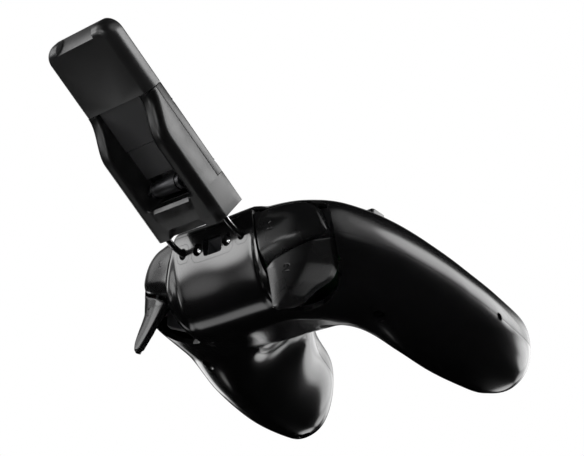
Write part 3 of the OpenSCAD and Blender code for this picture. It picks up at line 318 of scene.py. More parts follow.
def carve(ob, tool, how="DIFFERENCE", keep=False):
    """Cut, join or intersect a piece with another, which is used up unless kept."""
    mod = ob.modifiers.new("carve", "BOOLEAN")
    mod.operation = how
    mod.solver = "MANIFOLD"
    mod.object = tool
    bake(ob)
    if not keep:
        drop(tool)
    return ob


def drop(ob):
    me = ob.data
    bpy.data.objects.remove(ob)
    bpy.data.meshes.remove(me)


def bake(ob):
    """Turn the live modifiers into plain mesh."""
    dg = bpy.context.evaluated_depsgraph_get()
    dg.update()
    me = bpy.data.meshes.new_from_object(ob.evaluated_get(dg))
    old = ob.data
    ob.modifiers.clear()
    ob.data = me
    me.name = ob.name
    bpy.data.meshes.remove(old)
    return ob


def smooth(ob, angle=35):
    """Shade a piece smooth, with sharp edges where faces meet at more than an angle."""
    me = ob.data
    me.polygons.foreach_set("use_smooth", [True] * len(me.polygons))
    bm = bmesh.new()
    bm.from_mesh(me)
    lim = math.radians(angle)
    for e in bm.edges:
        e.smooth = len(e.link_faces) == 2 and e.calc_face_angle(9) < lim
    bm.to_mesh(me)
    bm.free()
    return ob


def bevelled(ob, width, segments, angle):
    """Edges sharper than an angle, rounded by a width in millimetres."""
    mod = ob.modifiers.new("round", "BEVEL")
    mod.width = width * MM
    mod.segments = segments
    mod.limit_method = "ANGLE"
    mod.angle_limit = math.radians(angle)
    mod.use_clamp_overlap = True
    return bake(ob)


def blunt(ob, width, segments, angle):
    return smooth(bevelled(ob, width, segments, angle), 34)


def soften(ob, width):
    """Round the hard edges of a piece made of flat faces, and even its shading."""
    bm = bmesh.new()
    bm.from_mesh(ob.data)
    bmesh.ops.remove_doubles(bm, verts=bm.verts, dist=2e-6)
    bmesh.ops.dissolve_limit(bm, angle_limit=math.radians(0.6), verts=bm.verts, edges=bm.edges)
    bm.to_mesh(ob.data)
    bm.free()
    smooth(bevelled(ob, width, 3, 32), 40)
    mod = ob.modifiers.new("even", "WEIGHTED_NORMAL")
    mod.keep_sharp = True
    mod.weight = 80
    return bake(ob)


class Skin:
    """The smooth normals of a fine surface, to give back after it is cut."""

    def __init__(self, ob):
        me = ob.data
        me.calc_loop_triangles()
        self.v = np.empty(len(me.vertices) * 3)
        me.vertices.foreach_get("co", self.v)
        self.v = self.v.reshape(-1, 3)
        self.n = np.empty(len(me.vertices) * 3)
        me.vertices.foreach_get("normal", self.n)
        self.n = self.n.reshape(-1, 3)
        self.t = [tuple(t.vertices) for t in me.loop_triangles]
        self.tree = BVHTree.FromPolygons(self.v.tolist(), self.t)

    def give(self, ob, reach=3e-5):
        me = ob.data
        found = {}
        for v in me.vertices:
            p, _, i, d = self.tree.find_nearest(v.co)
            if d is not None and d < reach:
                a, b, c = self.t[i]
                A, B, C = self.v[a], self.v[b], self.v[c]
                q = np.array(p)
                e0, e1, e2 = B - A, C - A, q - A
                d00, d01, d11 = e0 @ e0, e0 @ e1, e1 @ e1
                d20, d21 = e2 @ e0, e2 @ e1
                den = d00 * d11 - d01 * d01
                if abs(den) < 1e-30:
                    continue
                w1, w2 = (d11 * d20 - d01 * d21) / den, (d00 * d21 - d01 * d20) / den
                m = self.n[a] * (1 - w1 - w2) + self.n[b] * w1 + self.n[c] * w2
                found[v.index] = m / max(np.linalg.norm(m), 1e-9)
        normals = [(0.0, 0.0, 0.0)] * len(me.loops)
        for f in me.polygons:
            fn = np.array(f.normal)
            for l in f.loop_indices:
                m = found.get(me.loops[l].vertex_index)
                if m is not None and m @ fn > 0.86:
                    normals[l] = tuple(m)
        me.normals_split_custom_set(normals)
        return ob


def tube(name, pts, r, sides=20):
    """A round wire through points in millimetres of the drawing."""
    p = np.array(pts, float)
    t = np.gradient(p, axis=0)
    t /= np.linalg.norm(t, axis=1)[:, None]
    side = np.cross(t[0], (1, 0, 0.0)) if abs(t[0][0]) < 0.9 else np.cross(t[0], (0, 0, 1.0))
    side /= np.linalg.norm(side)
    v = []
    for i in range(len(p)):
        side = side - t[i] * (side @ t[i])
        side /= np.linalg.norm(side)
        up = np.cross(t[i], side)
        for k in range(sides):
            a = 2 * math.pi * k / sides
            v.append(p[i] + r * (side * math.cos(a) + up * math.sin(a)))
    return smooth(outward(make(name, v, closed_rings(len(p), sides))), 50)


def join(name, parts):
    """Several meshes as one piece."""
    bm = bmesh.new()
    for o in parts:
        bm.from_mesh(o.data)
    me = bpy.data.meshes.new(name)
    bm.to_mesh(me)
    bm.free()
    for o in parts:
        drop(o)
    ob = bpy.data.objects.new(name, me)
    bpy.context.scene.collection.objects.link(ob)
    return ob


def mirrored(ob, name):
    """A copy on the other side of the middle plane."""
    me = ob.data.copy()
    me.transform(Matrix.Diagonal((-1, 1, 1, 1)))
    me.flip_normals()
    me.name = name
    o = bpy.data.objects.new(name, me)
    bpy.context.scene.collection.objects.link(o)
    return o


# ------------------------------------------------------------------ finishes
def group(name, inputs, outputs):
    g = bpy.data.node_groups.new(name, "ShaderNodeTree")
    for n, kind, v in inputs:
        s = g.interface.new_socket(n, in_out="INPUT", socket_type=kind)
        if v is not None:
            s.default_value = v
    for n, kind in outputs:
        g.interface.new_socket(n, in_out="OUTPUT", socket_type=kind)
    return g, g.nodes.new("NodeGroupInput"), g.nodes.new("NodeGroupOutput")


def node(tree, kind, ins=None, **props):
    n = tree.nodes.new(kind)
    for k, v in props.items():
        setattr(n, k, v)
    for k, v in (ins or {}).items():
        if isinstance(v, bpy.types.NodeSocket):
            tree.links.new(v, n.inputs[k])
        else:
            n.inputs[k].default_value = v
    return n


def noise(tree, at, scale, detail, roughness=0.5):
    return node(tree, "ShaderNodeTexNoise", {"Vector": at, "Scale": scale, "Detail": detail,
                                             "Roughness": roughness}).outputs["Fac"]


def between(tree, value, low, high, to_low=0.0, to_high=1.0, **props):
    return node(tree, "ShaderNodeMapRange", {"Value": value, "From Min": low, "From Max": high,
                                             "To Min": to_low, "To Max": to_high}, **props).outputs[0]


def maths(tree, how, *terms):
    return node(tree, "ShaderNodeMath", dict(enumerate(terms)), operation=how).outputs[0]


def moulded_group():
    """Colour drift, fine grain and worn edges of a moulded surface."""
    g, i, o = group("moulded surface", [
        ("Colour", "NodeSocketColor", (0.1, 0.1, 0.1, 1)),
        ("Worn colour", "NodeSocketColor", (0.2, 0.2, 0.2, 1)),
        ("Drift", "NodeSocketFloat", 0.15), ("Grain per metre", "NodeSocketFloat", 3000.0),
        ("Roughness", "NodeSocketFloat", 0.4), ("Roughness drift", "NodeSocketFloat", 0.08),
        ("Edge wear", "NodeSocketFloat", 0.3)],
        [("Colour", "NodeSocketColor"), ("Roughness", "NodeSocketFloat"), ("Height", "NodeSocketFloat")])
    at = node(g, "ShaderNodeTexCoord").outputs["Object"]
    slow = noise(g, at, 38.0, 3.0)
    fine = noise(g, at, i.outputs["Grain per metre"], 2.0)
    rub = noise(g, at, 160.0, 5.0, 0.7)
    geo = node(g, "ShaderNodeNewGeometry")
    edge = between(g, geo.outputs["Pointiness"], 0.52, 0.60)
    patch = between(g, rub, 0.42, 0.66)
    worn = maths(g, "MULTIPLY", maths(g, "MULTIPLY", edge, patch), i.outputs["Edge wear"])
    drift = between(g, slow, 0.3, 0.7, -0.5, 0.5)
    shade = maths(g, "ADD", maths(g, "MULTIPLY", drift, i.outputs["Drift"]), 1.0)
    tint = node(g, "ShaderNodeVectorMath", {0: i.outputs["Colour"], "Scale": shade}, operation="SCALE")
    colour = node(g, "ShaderNodeMix", {0: worn, 6: tint.outputs[0], 7: i.outputs["Worn colour"]},
                  data_type="RGBA")
    g.links.new(colour.outputs[2], o.inputs["Colour"])
    even = maths(g, "MULTIPLY_ADD", drift, i.outputs["Roughness drift"], i.outputs["Roughness"])
    g.links.new(maths(g, "MULTIPLY_ADD", worn, 0.2, even), o.inputs["Roughness"])
    g.links.new(maths(g, "MULTIPLY_ADD", slow, 0.5, fine), o.inputs["Height"])
    return g


def brushed_group():
    """Fine lines along one axis, as on drawn or brushed metal."""
    g, i, o = group("brushed metal", [
        ("Colour", "NodeSocketColor", (0.6, 0.6, 0.6, 1)), ("Stretch", "NodeSocketVector", (1, 1, 1)),
        ("Lines per metre", "NodeSocketFloat", 4000.0), ("Roughness", "NodeSocketFloat", 0.25)],
        [("Colour", "NodeSocketColor"), ("Roughness", "NodeSocketFloat"), ("Height", "NodeSocketFloat")])
    at = node(g, "ShaderNodeTexCoord").outputs["Object"]
    along = node(g, "ShaderNodeVectorMath", {0: at, 1: i.outputs["Stretch"]}, operation="MULTIPLY")
    lines = noise(g, along.outputs[0], i.outputs["Lines per metre"], 3.0)
    shade = between(g, noise(g, at, 90.0, 4.0), 0.3, 0.7, 0.86, 1.08)
    tint = node(g, "ShaderNodeVectorMath", {0: i.outputs["Colour"], "Scale": shade}, operation="SCALE")
    g.links.new(tint.outputs[0], o.inputs["Colour"])
    g.links.new(maths(g, "MULTIPLY_ADD", lines, 0.16, i.outputs["Roughness"]), o.inputs["Roughness"])
    g.links.new(lines, o.inputs["Height"])
    return g


MOULDED, BRUSHED = moulded_group(), brushed_group()


def surface(name, build):
    """A material whose Principled shader is wired up by build."""
    m = bpy.data.materials.new(name)
    m.use_nodes = True
    t = m.node_tree
    t.nodes.clear()
    out = t.nodes.new("ShaderNodeOutputMaterial")
    p = t.nodes.new("ShaderNodeBsdfPrincipled")
    t.links.new(p.outputs[0], out.inputs[0])
    build(t, p)
    return m


def wire_up(t, p, tree, values, bump):
    """Feed a shader from a shared effect, with this finish's own values."""
    g = node(t, "ShaderNodeGroup", node_tree=tree)
    for k, v in values.items():
        g.inputs[k].default_value = v
    t.links.new(g.outputs["Colour"], p.inputs["Base Color"])
    t.links.new(g.outputs["Roughness"], p.inputs["Roughness"])
    b = node(t, "ShaderNodeBump", {"Height": g.outputs["Height"], "Strength": 1.0, "Distance": bump})
    t.links.new(b.outputs[0], p.inputs["Normal"])


def plastic(name, colour, worn, rough, drift=0.2, grain=3200.0, bump=0.00001, wear=0.35, rdrift=0.1,
            coat=0.0, level=0.5):
    def build(t, p):
        wire_up(t, p, MOULDED, {"Colour": (*colour, 1), "Worn colour": (*worn, 1), "Drift": drift,
                                "Grain per metre": grain, "Roughness": rough, "Roughness drift": rdrift,
                                "Edge wear": wear}, bump)
        p.inputs["Coat Weight"].default_value = coat
        p.inputs["Coat Roughness"].default_value = 0.06
        p.inputs["Specular IOR Level"].default_value = level
    return surface(name, build)


def metal(name, colour, rough, stretch=(1, 1, 1), lines=4000.0, bump=0.000004):
    def build(t, p):
        wire_up(t, p, BRUSHED, {"Colour": (*colour, 1), "Stretch": stretch, "Lines per metre": lines,
                                "Roughness": rough}, bump)
        p.inputs["Metallic"].default_value = 1.0
    return surface(name, build)


gloss_black = plastic("gloss black shell", (0.0035, 0.0035, 0.0038), (0.02, 0.02, 0.02), 0.20, drift=0.25,
                      grain=900.0, bump=0.0000012, wear=0.2, rdrift=0.04, coat=0.8, level=0.7)
top_black = plastic("satin black top shell", (0.005, 0.005, 0.0053), (0.03, 0.03, 0.03), 0.24, drift=0.25,
                    grain=2600.0, bump=0.000003, wear=0.25, rdrift=0.05, coat=0.5, level=0.6)
panel_black = plastic("rear panel black", (0.005, 0.005, 0.0053), (0.03, 0.03, 0.03), 0.20, grain=1500.0,
                      bump=0.000002, wear=0.25, rdrift=0.05, coat=0.8, level=0.7)
cap_black = plastic("bumper and trigger black", (0.006, 0.006, 0.0063), (0.04, 0.04, 0.04), 0.27,
                    grain=3400.0, bump=0.000003, wear=0.3, coat=0.3, level=0.6)
clip_grey = plastic("clip dark grey", (0.005, 0.005, 0.0052), (0.05, 0.05, 0.05), 0.31, grain=4200.0,
                    bump=0.000004, wear=0.4, level=0.8)
# The jaw's finish is the clip's dark grey made lighter and shinier: painted light, for the brighter light
# that falls on the jaw.
jaw_grey_lit_copy = plastic("jaw grey lightened for its light", (0.012, 0.012, 0.0123), (0.06, 0.06, 0.06), 0.33, grain=4200.0,
                   bump=0.000004, wear=0.4, level=1.0)
clip_inner = plastic("clip inner grey", (0.030, 0.030, 0.031), (0.08, 0.08, 0.08), 0.40, grain=4200.0,
                     bump=0.000008, wear=0.4)
inner_grey = plastic("inner moulding grey", (0.055, 0.056, 0.06), (0.12, 0.12, 0.12), 0.5, grain=2600.0,
                     bump=0.00001, wear=0.3)
rubber = plastic("black rubber", (0.016, 0.016, 0.016), (0.05, 0.05, 0.05), 0.68, drift=0.3, grain=5200.0,
                 bump=0.00002, wear=0.3)
mat_rubber = plastic("contact mat rubber", (0.20, 0.21, 0.22), (0.3, 0.3, 0.3), 0.72, grain=3000.0,
                     bump=0.00001)
key_grey = plastic("small key grey", (0.05, 0.05, 0.052), (0.15, 0.15, 0.15), 0.35, grain=3600.0,
                   bump=0.000006)
board_mask = plastic("circuit board green", (0.012, 0.09, 0.035), (0.25, 0.2, 0.08), 0.3, drift=0.5,
                     grain=1600.0, bump=0.00002, wear=0.2)
strip_steel = metal("spring strip", (0.10, 0.10, 0.105), 0.30, (1, 14, 14))
foil = metal("battery foil", (0.55, 0.57, 0.6), 0.3, lines=600.0, bump=0.00003)
BUTTONS = (("near", "green", (0.03, 0.25, 0.10)), ("far", "yellow", (0.52, 0.32, 0.03)),
           ("inner", "blue", (0.02, 0.09, 0.36)), ("outer", "red", (0.36, 0.025, 0.02)))
keys = [plastic("button " + n, c, tuple(min(1, v * 1.5 + 0.05) for v in c), 0.2, grain=2000.0,
                bump=0.000003, coat=0.4) for _, n, c in BUTTONS]
chrome = metal("polished chrome", (0.82, 0.83, 0.84), 0.05, lines=700.0, bump=0.000001)
steel = metal("bright steel", (0.60, 0.61, 0.62), 0.22, (1, 12, 12))
dark_steel = metal("dark polished wire", (0.50, 0.50, 0.51), 0.16, (14, 14, 2), bump=0.000002)
screw_steel = metal("blackened screw", (0.16, 0.16, 0.165), 0.34, lines=2500.0)
port_metal = metal("port sheet metal", (0.68, 0.69, 0.70), 0.2, (10, 1, 10))


def light_build(t, p):
    """Pale blue plastic that lets a little light through."""
    cloud = noise(t, node(t, "ShaderNodeTexCoord").outputs["Object"], 300.0, 3.0)
    r = node(t, "ShaderNodeValToRGB", {"Fac": cloud})
    r.color_ramp.elements[0].color = (0.62, 0.78, 0.86, 1)
    r.color_ramp.elements[1].color = (0.80, 0.90, 0.95, 1)
    t.links.new(r.outputs["Color"], p.inputs["Base Color"])
    t.links.new(between(t, cloud, 0.0, 1.0, 0.25, 0.45), p.inputs["Roughness"])
    p.inputs["Transmission Weight"].default_value = 0.35


light_plastic = surface("frosted light bar", light_build)


def dress(ob, mat, body=None, nodes=()):
    """Give a piece its finish, its body and the nodes it stands for."""
    ob.data.materials.clear()
    ob.data.materials.append(mat)
    if body:
        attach(ob, body)
    if nodes:
        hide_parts(*nodes)
    return ob


# ------------------------------------------------------------------- shells
# One opening holds a bumper and its trigger: its outline from behind, the
# plan of its foot measured from the rear edge, and how deep it goes in plan.
OPEN_XZ = [(23.2, 58.8), (31, 59.4), (38.7, 59.6), (45.8, 59), (51.4, 57.6), (54.9, 52.6), (56.3, 46.5),
           (56.7, 40), (56.3, 34), (50, 30), (29.3, 30), (28.3, 34.2)]
OPEN_FOOT = [(29.4, 2), (29, -4), (28.3, -10), (27.6, -15.2), (28.3, -18.8), (30.5, -22.2), (34, -24.3),
             (38.5, -25.1), (43, -24.6), (47.5, -23.1), (51.5, -20.3), (55, -16.6), (56.6, -12), (56.6, 2)]
OPEN_XY = [(20, REAR - 11.7), (44, REAR - 11.7), (50, REAR - 15.2), (58, REAR - 21.7), (58, REAR + 20),
           (20, REAR + 20)]
PANEL_W, PANEL_H, PANEL_Z = 24.6, 11.6, 50.4
PORT_Z, KEY_X, KEY_R = 49.8, 8.8, 1.75                # window's middle, chrome keys beside it
WIRE_X, WIRE_R, WIRE_HOLE = 17.5, 1.23, 1.31          # the clip's wire legs and their holes
TILT, PRONG = math.radians(20), 12.0                  # slope and length of the legs in the sockets
BUMPER_PIN, TRIGGER_PIN, PIN_R = (36.4, 51.4), (36.2, 42.5), 1.25
FACE = (45.0, 12.0)                                   # middle of the buttons, and of the pad
FACE_Z = top_z(*FACE)
LEAN = math.atan((top_z(FACE[0], FACE[1] + 6) - top_z(FACE[0], FACE[1] - 6)) / 12)
STICK, DOME_R = (25.0, -6.5), 13.0
STICK_Z = top_z(*STICK) - 10                          # the point each stick tilts about
SMALL = [(-11, 20, 3.0), (11, 20, 3.0), (0, 4, 4.0)]  # back, start and home: place and radius
# case screws: place, depth of the head, tops of boss and bore, end of the thread
SCREWS = [((50.3, 5.2), 4.0, 39.9, 45.0, (44.0, 44.2)), ((53, -55.5), 9.0, 18.8, 25.0, (24.5, 24.8))]
FINE = (90, 96)                                       # how finely the case's surface is divided


def shift(x, y, z):
    """A move in millimetres."""
    return Matrix.Translation((x * MM, y * MM, z * MM))


def turn(angle, axis):
    return Matrix.Rotation(angle, 4, axis)


def place(x, y, z):
    """A move to a place of the drawing, in millimetres."""
    return shift(x, y - MIDDLE, z)


def on_face(side):
    return place(side * FACE[0], FACE[1], FACE_Z) @ turn(LEAN, "X")


def on_socket(side):
    return place(side * WIRE_X, REAR, PORT_Z) @ turn(TILT - QUARTER, "X")


def both(tool_of):
    a = tool_of()
    return [a, mirrored(a, a.name + " left")]


def opening():
    a = prism("opening", OPEN_XZ, 20, 80, "y")
    carve(a, prism("opening plan", OPEN_XY, 0, 80, "z"), "INTERSECT")
    return carve(a, prism("opening foot", [(x, REAR + y) for x, y in OPEN_FOOT], 0, 34, "z"), "UNION")


def centred(ob):
    """Undo the drawing's shift, for a piece drawn about its own middle."""
    ob.data.transform(shift(0, MIDDLE, 0))
    return ob


def rod(name, r, z0, z1, m, turns=48):
    return settle(lathe(name, [(0, z0), (r, z0), (r, z1), (0, z1)], turns), m)


def column(name, r, x, y, z0, z1, turns=40):
    return rod(name, r, z0, z1, place(x, y, 0), turns)


def socket_block(side, grow, z0, z1):
    """The square tube round a wire leg, grown a little where it is cut out."""
    a = prism("socket_block", round_rect(7 + 2 * grow, 7 + 2 * grow, 2.2 + grow), z0, z1, "z")
    return settle(centred(a), on_socket(side))


core = body_mesh("core", 0, *FINE)
skin = Skin(core)
hollow = body_mesh("hollow", WALL, *FINE, calm=0)


def cut_core(tool):
    """The part of a solid that lies inside the body."""
    return carve(tool, core, "INTERSECT", keep=True)


def under_z(x, y):
    x, y = np.array([float(x)]), np.array([float(y)])
    return float(under_at(x, y, rim_distance(RIM, x, y))[0])


back = shell_mesh("back_case", -1, *FINE)
for s, _ in SIDES:
    for (x, y), seat, boss, bore, tip in SCREWS:
        carve(back, cut_core(column("boss", 3.7, s * x, y, -5, boss)), "UNION")
for t in both(opening):
    carve(back, t)
for s, _ in SIDES:
    for (x, y), seat, boss, bore, tip in SCREWS:
        z = under_z(x, y) + seat
        profile = [(0, -9), (2.6, -9), (2.6, z), (1.45, z + 0.01), (1.45, bore), (0, bore)]
        carve(back, settle(lathe("counterbore", profile, 48), place(s * x, y, 0)))
    carve(back, socket_block(s, 0.12, -9, 11))
    carve(back, block("trigger room", *sorted((s * 52.9, s * 53.85)), 29.6, 31.3, 29.2, 33.8))
carve(back, prism("panel cut", round_rect(PANEL_W + 0.24, PANEL_H + 0.24, 3.1, 0, PANEL_Z), 40, 60, "y"))
skin.give(smooth(back, 30))
dress(back, gloss_black, "controller", ("back_shell",))

top = shell_mesh("top_case", 1, *FINE)
for t in both(opening):
    carve(top, t)


def face_rise(px, py):
    """Height of the case over the buttons' tilted plane, at a place on it."""
    y = FACE[1] + py * math.cos(LEAN)
    z = FACE_Z + py * math.sin(LEAN)
    return (top_z(FACE[0] + px, y) - z) * math.cos(LEAN)


KEYS = [(0, -10), (0, 10), (-10, 0), (10, 0)]         # the buttons' places about their middle
GUIDE = 4.85                                          # radius of their holes
for px, py in KEYS:
    up = face_rise(px, py)
    m = on_face(1) @ shift(px, py, 0)
    carve(top, cut_core(rod("guide", GUIDE + 1.2, up - 5.4, up + 6, m)), "UNION")
    carve(top, rod("key hole", GUIDE, up - 9, up + 6, m))


def cross_outline(length, width, r=1.0, n=5):
    """Corners of a plus sign with rounded ends and rounded inner corners."""
    a, b, inner = length / 2, width / 2, 0.6
    arcs = ((a - r, r - b, r, -QUARTER, QUARTER), (a - r, b - r, r, 0, QUARTER),
            (b + inner, b + inner, inner, -QUARTER, -QUARTER))
    arm = [(x + rr * math.cos(t0 + span * k / n), y + rr * math.sin(t0 + span * k / n))
           for x, y, rr, t0, span in arcs for k in range(n + 1)]
    return [(c * x - s * y, s * x + c * y) for c, s in ((1, 0), (0, 1), (-1, 0), (0, -1)) for x, y in arm]


carve(top, settle(centred(prism("pad hole", cross_outline(23.2, 8.4, 1.5), -6, 5, "z")), on_face(-1)))
# a pocket that follows the stick's dome, with a dished rim that clears its cap
pocket = [(0, -0.8), (13.3, -0.8), (13.3, 2.5), (12.75, 4.0), (12.2, 5.2), (11.8, 6.2), (11.8, 9.5),
          (15.2, 10.6), (18, 14), (0, 14)]
for s, _ in SIDES:
    carve(top, settle(lathe("stick hole", pocket, 96), place(s * STICK[0], STICK[1], STICK_Z)))
for x, y, r in SMALL:
    carve(top, column("key hole", r + 0.25, x, y, 50, 70, 64))
carve(top, prism("light slot", round_rect(14.3, 2.3, 1.1, 0, -12), 50, 70, "z"))
skin.give(smooth(top, 30))
dress(top, top_black, "controller", ("top_shell",))

# ------------------------------------------------- rear panel and its pieces
plate = prism("port_plate", round_rect(PANEL_W, PANEL_H, 3.0, 0, PANEL_Z), 40, 60, "y")
cut_core(plate)
carve(plate, hollow, keep=True)
carve(plate, prism("window", round_rect(11, 7.3, 1.3, 0, PORT_Z), 40, 60, "y"))
for s, _ in SIDES:
    carve(plate, rod("well", 2.7, -20, 0, place(s * KEY_X, 60, PORT_Z) @ turn(-QUARTER, "X"), 64))
skin.give(smooth(plate, 30))
dress(plate, panel_black, "controller", ("port_panel",))
for s, nm in SIDES:
    b = socket_block(s, 0, -13.6, 6)
    b.name = nm + "_socket_block"
    cut_core(b)
    flared = [(0, -12.3), (WIRE_HOLE, -12.3), (WIRE_HOLE, -3.0), (1.5, -2.6), (2.2, -1.6), (2.2, 8), (0, 8)]
    carve(b, settle(lathe("wire hole", flared, 48), on_socket(s)))
    skin.give(smooth(b, 30))
    dress(b, panel_black, "controller", (nm + "_socket",))
    lip = [(1.36, -2.5), (1.62, -2.45), (2.12, -1.75), (2.18, -1.2), (2.05, -1.1), (1.92, -1.6), (1.5, -2.2)]
    ring = settle(lathe(nm + "_socket_ring", lip, 48, close=True), on_socket(s))
    dress(smooth(ring, 60), chrome, "controller")

SHELF = REAR - 3.4                                    # the panel's inner face behind the chrome keys
dome = [(0, SHELF - 7.4), (KEY_R, SHELF - 7.4), (KEY_R, SHELF - 1.6), (2.4, SHELF - 1.6), (2.4, SHELF - 0.7),
        (2.3, SHELF - 0.6), (KEY_R, SHELF - 0.6), (KEY_R, REAR - 1.6)]
dome += [(KEY_R * math.cos(a), REAR - 1.6 + 1.1 * math.sin(a)) for a in np.radians(range(10, 90, 10))]
dome += [(0, REAR - 0.5)]
for s, nm in ((-1, "pair"), (1, "reset")):
    k = settle(lathe(nm + "_dome", dome, 56), place(s * KEY_X, 0, PORT_Z) @ turn(-QUARTER, "X"))
    dress(smooth(k, 40), chrome, nm + "_key", (nm + "_button",))


# ------------------------------------------------------ bumpers and triggers
def smooth_line(pts, n):
    """n + 1 places on a smooth curve through the points, counted evenly by point."""
    p = np.array(pts, float)
    q = np.vstack([2 * p[0] - p[1], p, 2 * p[-1] - p[-2]])
    u = np.linspace(0, len(p) - 1, n + 1)
    i = np.minimum(u.astype(int), len(p) - 2)
    f = (u - i)[:, None]
    a, b, c, d = q[i], q[i + 1], q[i + 2], q[i + 3]
    return 0.5 * (2 * b + (c - a) * f + (2 * a - 5 * b + 4 * c - d) * f * f
                  + (3 * b - a - 3 * c + d) * f ** 3)


def walk(line):
    """A function that gives the place at a distance along a line, and the line's length."""
    step = np.r_[0, np.cumsum(np.linalg.norm(np.diff(line, axis=0), axis=1))]
    return lambda d: np.array([np.interp(d, step, line[:, 0]), np.interp(d, step, line[:, 1])]), step[-1]


def corner_loop(upper, lower, radii, n=60):
    """Closed outline between two lines with its four corners rounded."""
    top, low = smooth_line(upper, n), smooth_line(lower, n)
    sides = [top, np.linspace(top[-1], low[-1], 24), low[::-1], np.linspace(low[0], top[0], 24)]
    out = []
    for k in range(4):
        start, end = radii[k], radii[(k + 1) % 4]
        at, length = walk(sides[k])
        after, _ = walk(sides[(k + 1) % 4])
        stop = length - end
        out += [at(d) for d in np.linspace(start, stop, max(2, int((stop - start) / 0.45)))]
        a, corner, e = at(stop), sides[k][-1], after(end)
        for t in np.linspace(0, 1, 9)[1:-1]:
            out.append((1 - t) ** 2 * a + 2 * t * (1 - t) * corner + t * t * e)
    return np.array(out)


def line_distance(p, line):
    """Distance of each point to a line of straight pieces."""
    best = np.full(len(p), 1e9)
    for a, b in zip(line[:-1], line[1:]):
        d = b - a
        t = np.clip(((p - a) @ d) / max(d @ d, 1e-12), 0, 1)
        q = p - a - t[:, None] * d
        best = np.minimum(best, np.hypot(q[:, 0], q[:, 1]))
    return best


WIDEST = int(np.argmax(RIM[:, 0]))
EDGE_X, EDGE_Y = np.array(sorted({round(float(x), 4): float(y) for x, y in RIM[:WIDEST + 1]}.items())).T


def rear_at(x):
    return np.interp(np.abs(x), EDGE_X, EDGE_Y)


def rear_face(x, z):
    """Depth of the body's rear surface, seen from behind at a place."""
    y0 = rear_at(x)
    s, lean = seam_at(x, y0), np.sqrt(1 + ((rear_at(x + 1.2) - rear_at(x - 1.2)) / 2.4) ** 2)
    g = np.where(z > s, (z - s) / rise_at(x, y0), (s - z) / depth_at(x, y0))
    d = 1 - np.power(1 - np.power(np.clip(g, 0, 0.9999), 2.3), 1 / 2.3)
    return y0 - d * np.where(z > s, TOP_ROUND, UNDER_ROUND) * lean


def soft(x, k=0.8):
    """x where it is above 0 and 0 below, with a soft bend of width k."""
    return np.logaddexp(0, x / k) * k


def stroke_mask(p, strokes, width=0.42):
    """1 on a numeral's strokes and 0 beside them."""
    best = np.full(len(p), 1e9)
    for s in strokes:
        best = np.minimum(best, line_distance(p, np.array(s, float)))
    return 1 - sm(width * 0.5, width, best)


# plain numerals for the caps, as strokes
ONE = [[(-0.75, 0.9), (0.1, 1.5), (0.1, -1.5)], [(-0.8, -1.5), (1.0, -1.5)]]
TWO = [[(-0.95, 0.85), (-0.7, 1.35), (0, 1.55), (0.7, 1.3), (0.9, 0.75), (0.6, 0.1), (-1.0, -1.5),
        (1.05, -1.5)]]
BANDS = (0.06, 0.16, 0.32, 0.55, 0.85, 1.2)           # rows of points that follow a cap's rim
CAP_STEP, MARK_STEP, MARK_DEEP, CAP_THICK = 0.55, 0.13, 0.16, 2.6


def cap(name, side, upper, lower, radii, face, mark, mark_at):
    """A moulded key: an outline seen from behind, a face over it and a plain back."""
    loop = corner_loop(upper, lower, radii)
    area = 0.5 * np.sum(loop[:, 0] * np.roll(loop[:, 1], -1) - np.roll(loop[:, 0], -1) * loop[:, 1])
    if area < 0:
        loop = loop[::-1]
    t = np.roll(loop, -1, 0) - np.roll(loop, 1, 0)
    t /= np.linalg.norm(t, axis=1)[:, None]
    inward = np.stack([-t[:, 1], t[:, 0]], 1)
    closed = np.vstack([loop, loop[:1]])
    pts = [loop]
    for d in BANDS:
        q = loop + inward * d
        pts.append(q[line_distance(q, closed) > d * 0.97])
    g = grid(*loop.min(0), *loop.max(0), CAP_STEP)
    m = grid(-1.6, -2.1, 1.61, 2.11, MARK_STEP) * (-side, 1) + mark_at
    far = (np.abs(g - mark_at) > 2.4).any(1)
    inside = np.array([point_in(q, loop) for q in g])
    pts += [g[inside & (line_distance(g, closed) > BANDS[-1] + 0.25) & far], m]
    p = np.vstack(pts)
    n = len(loop)
    tri = delaunay_2d_cdt([Vector(q) for q in p], [(i, (i + 1) % n) for i in range(n)], [], 1, 1e-6)
    v2 = np.array([tuple(q) for q in tri[0]])
    faces = [tuple(f) for f in tri[2]]
    e = line_distance(v2, closed)
    y = face(v2[:, 0], v2[:, 1], e) - MARK_DEEP * stroke_mask((v2 - mark_at) * (-side, 1), mark)
    yb = np.minimum(face(v2[:, 0], v2[:, 1], np.full(len(v2), 9.0)) - CAP_THICK, y - 0.8)
    k = len(v2)
    front = np.stack([v2[:, 0] * side, y, v2[:, 1]], 1)
    rear = np.stack([v2[:, 0] * side, yb, v2[:, 1]], 1)
    uses = {}
    for f in faces:
        for i in range(3):
            uses[(f[i], f[(i + 1) % 3])] = 1
    rim = [(i, j) for i, j in uses if (j, i) not in uses]
    fs = faces + [tuple(i + k for i in f[::-1]) for f in faces] + [(j, i, i + k, j + k) for i, j in rim]
    return smooth(outward(make(name, np.vstack([front, rear]), fs)), 40)


def grid(x0, y0, x1, y1, step):
    """Evenly spaced points over a rectangle."""
    x, y = np.meshgrid(np.arange(x0, x1, step), np.arange(y0, y1, step))
    return np.stack([x.ravel(), y.ravel()], 1)


def point_in(q, loop):
    """Whether a point lies inside a closed outline."""
    x, y = loop[:, 0], loop[:, 1]
    x2, y2 = np.roll(x, -1), np.roll(y, -1)
    cross = (y > q[1]) != (y2 > q[1])
    return bool(np.sum(cross & (q[0] < (x2 - x) * (q[1] - y) / np.where(y2 == y, 1e-9, y2 - y) + x)) % 2)


def roll_off(e, r):
    """How far a face falls away within r of its rim, as a quarter round."""
    return r - np.sqrt(np.maximum(r * r - np.square(np.clip(r - e, 0, r)), 0))


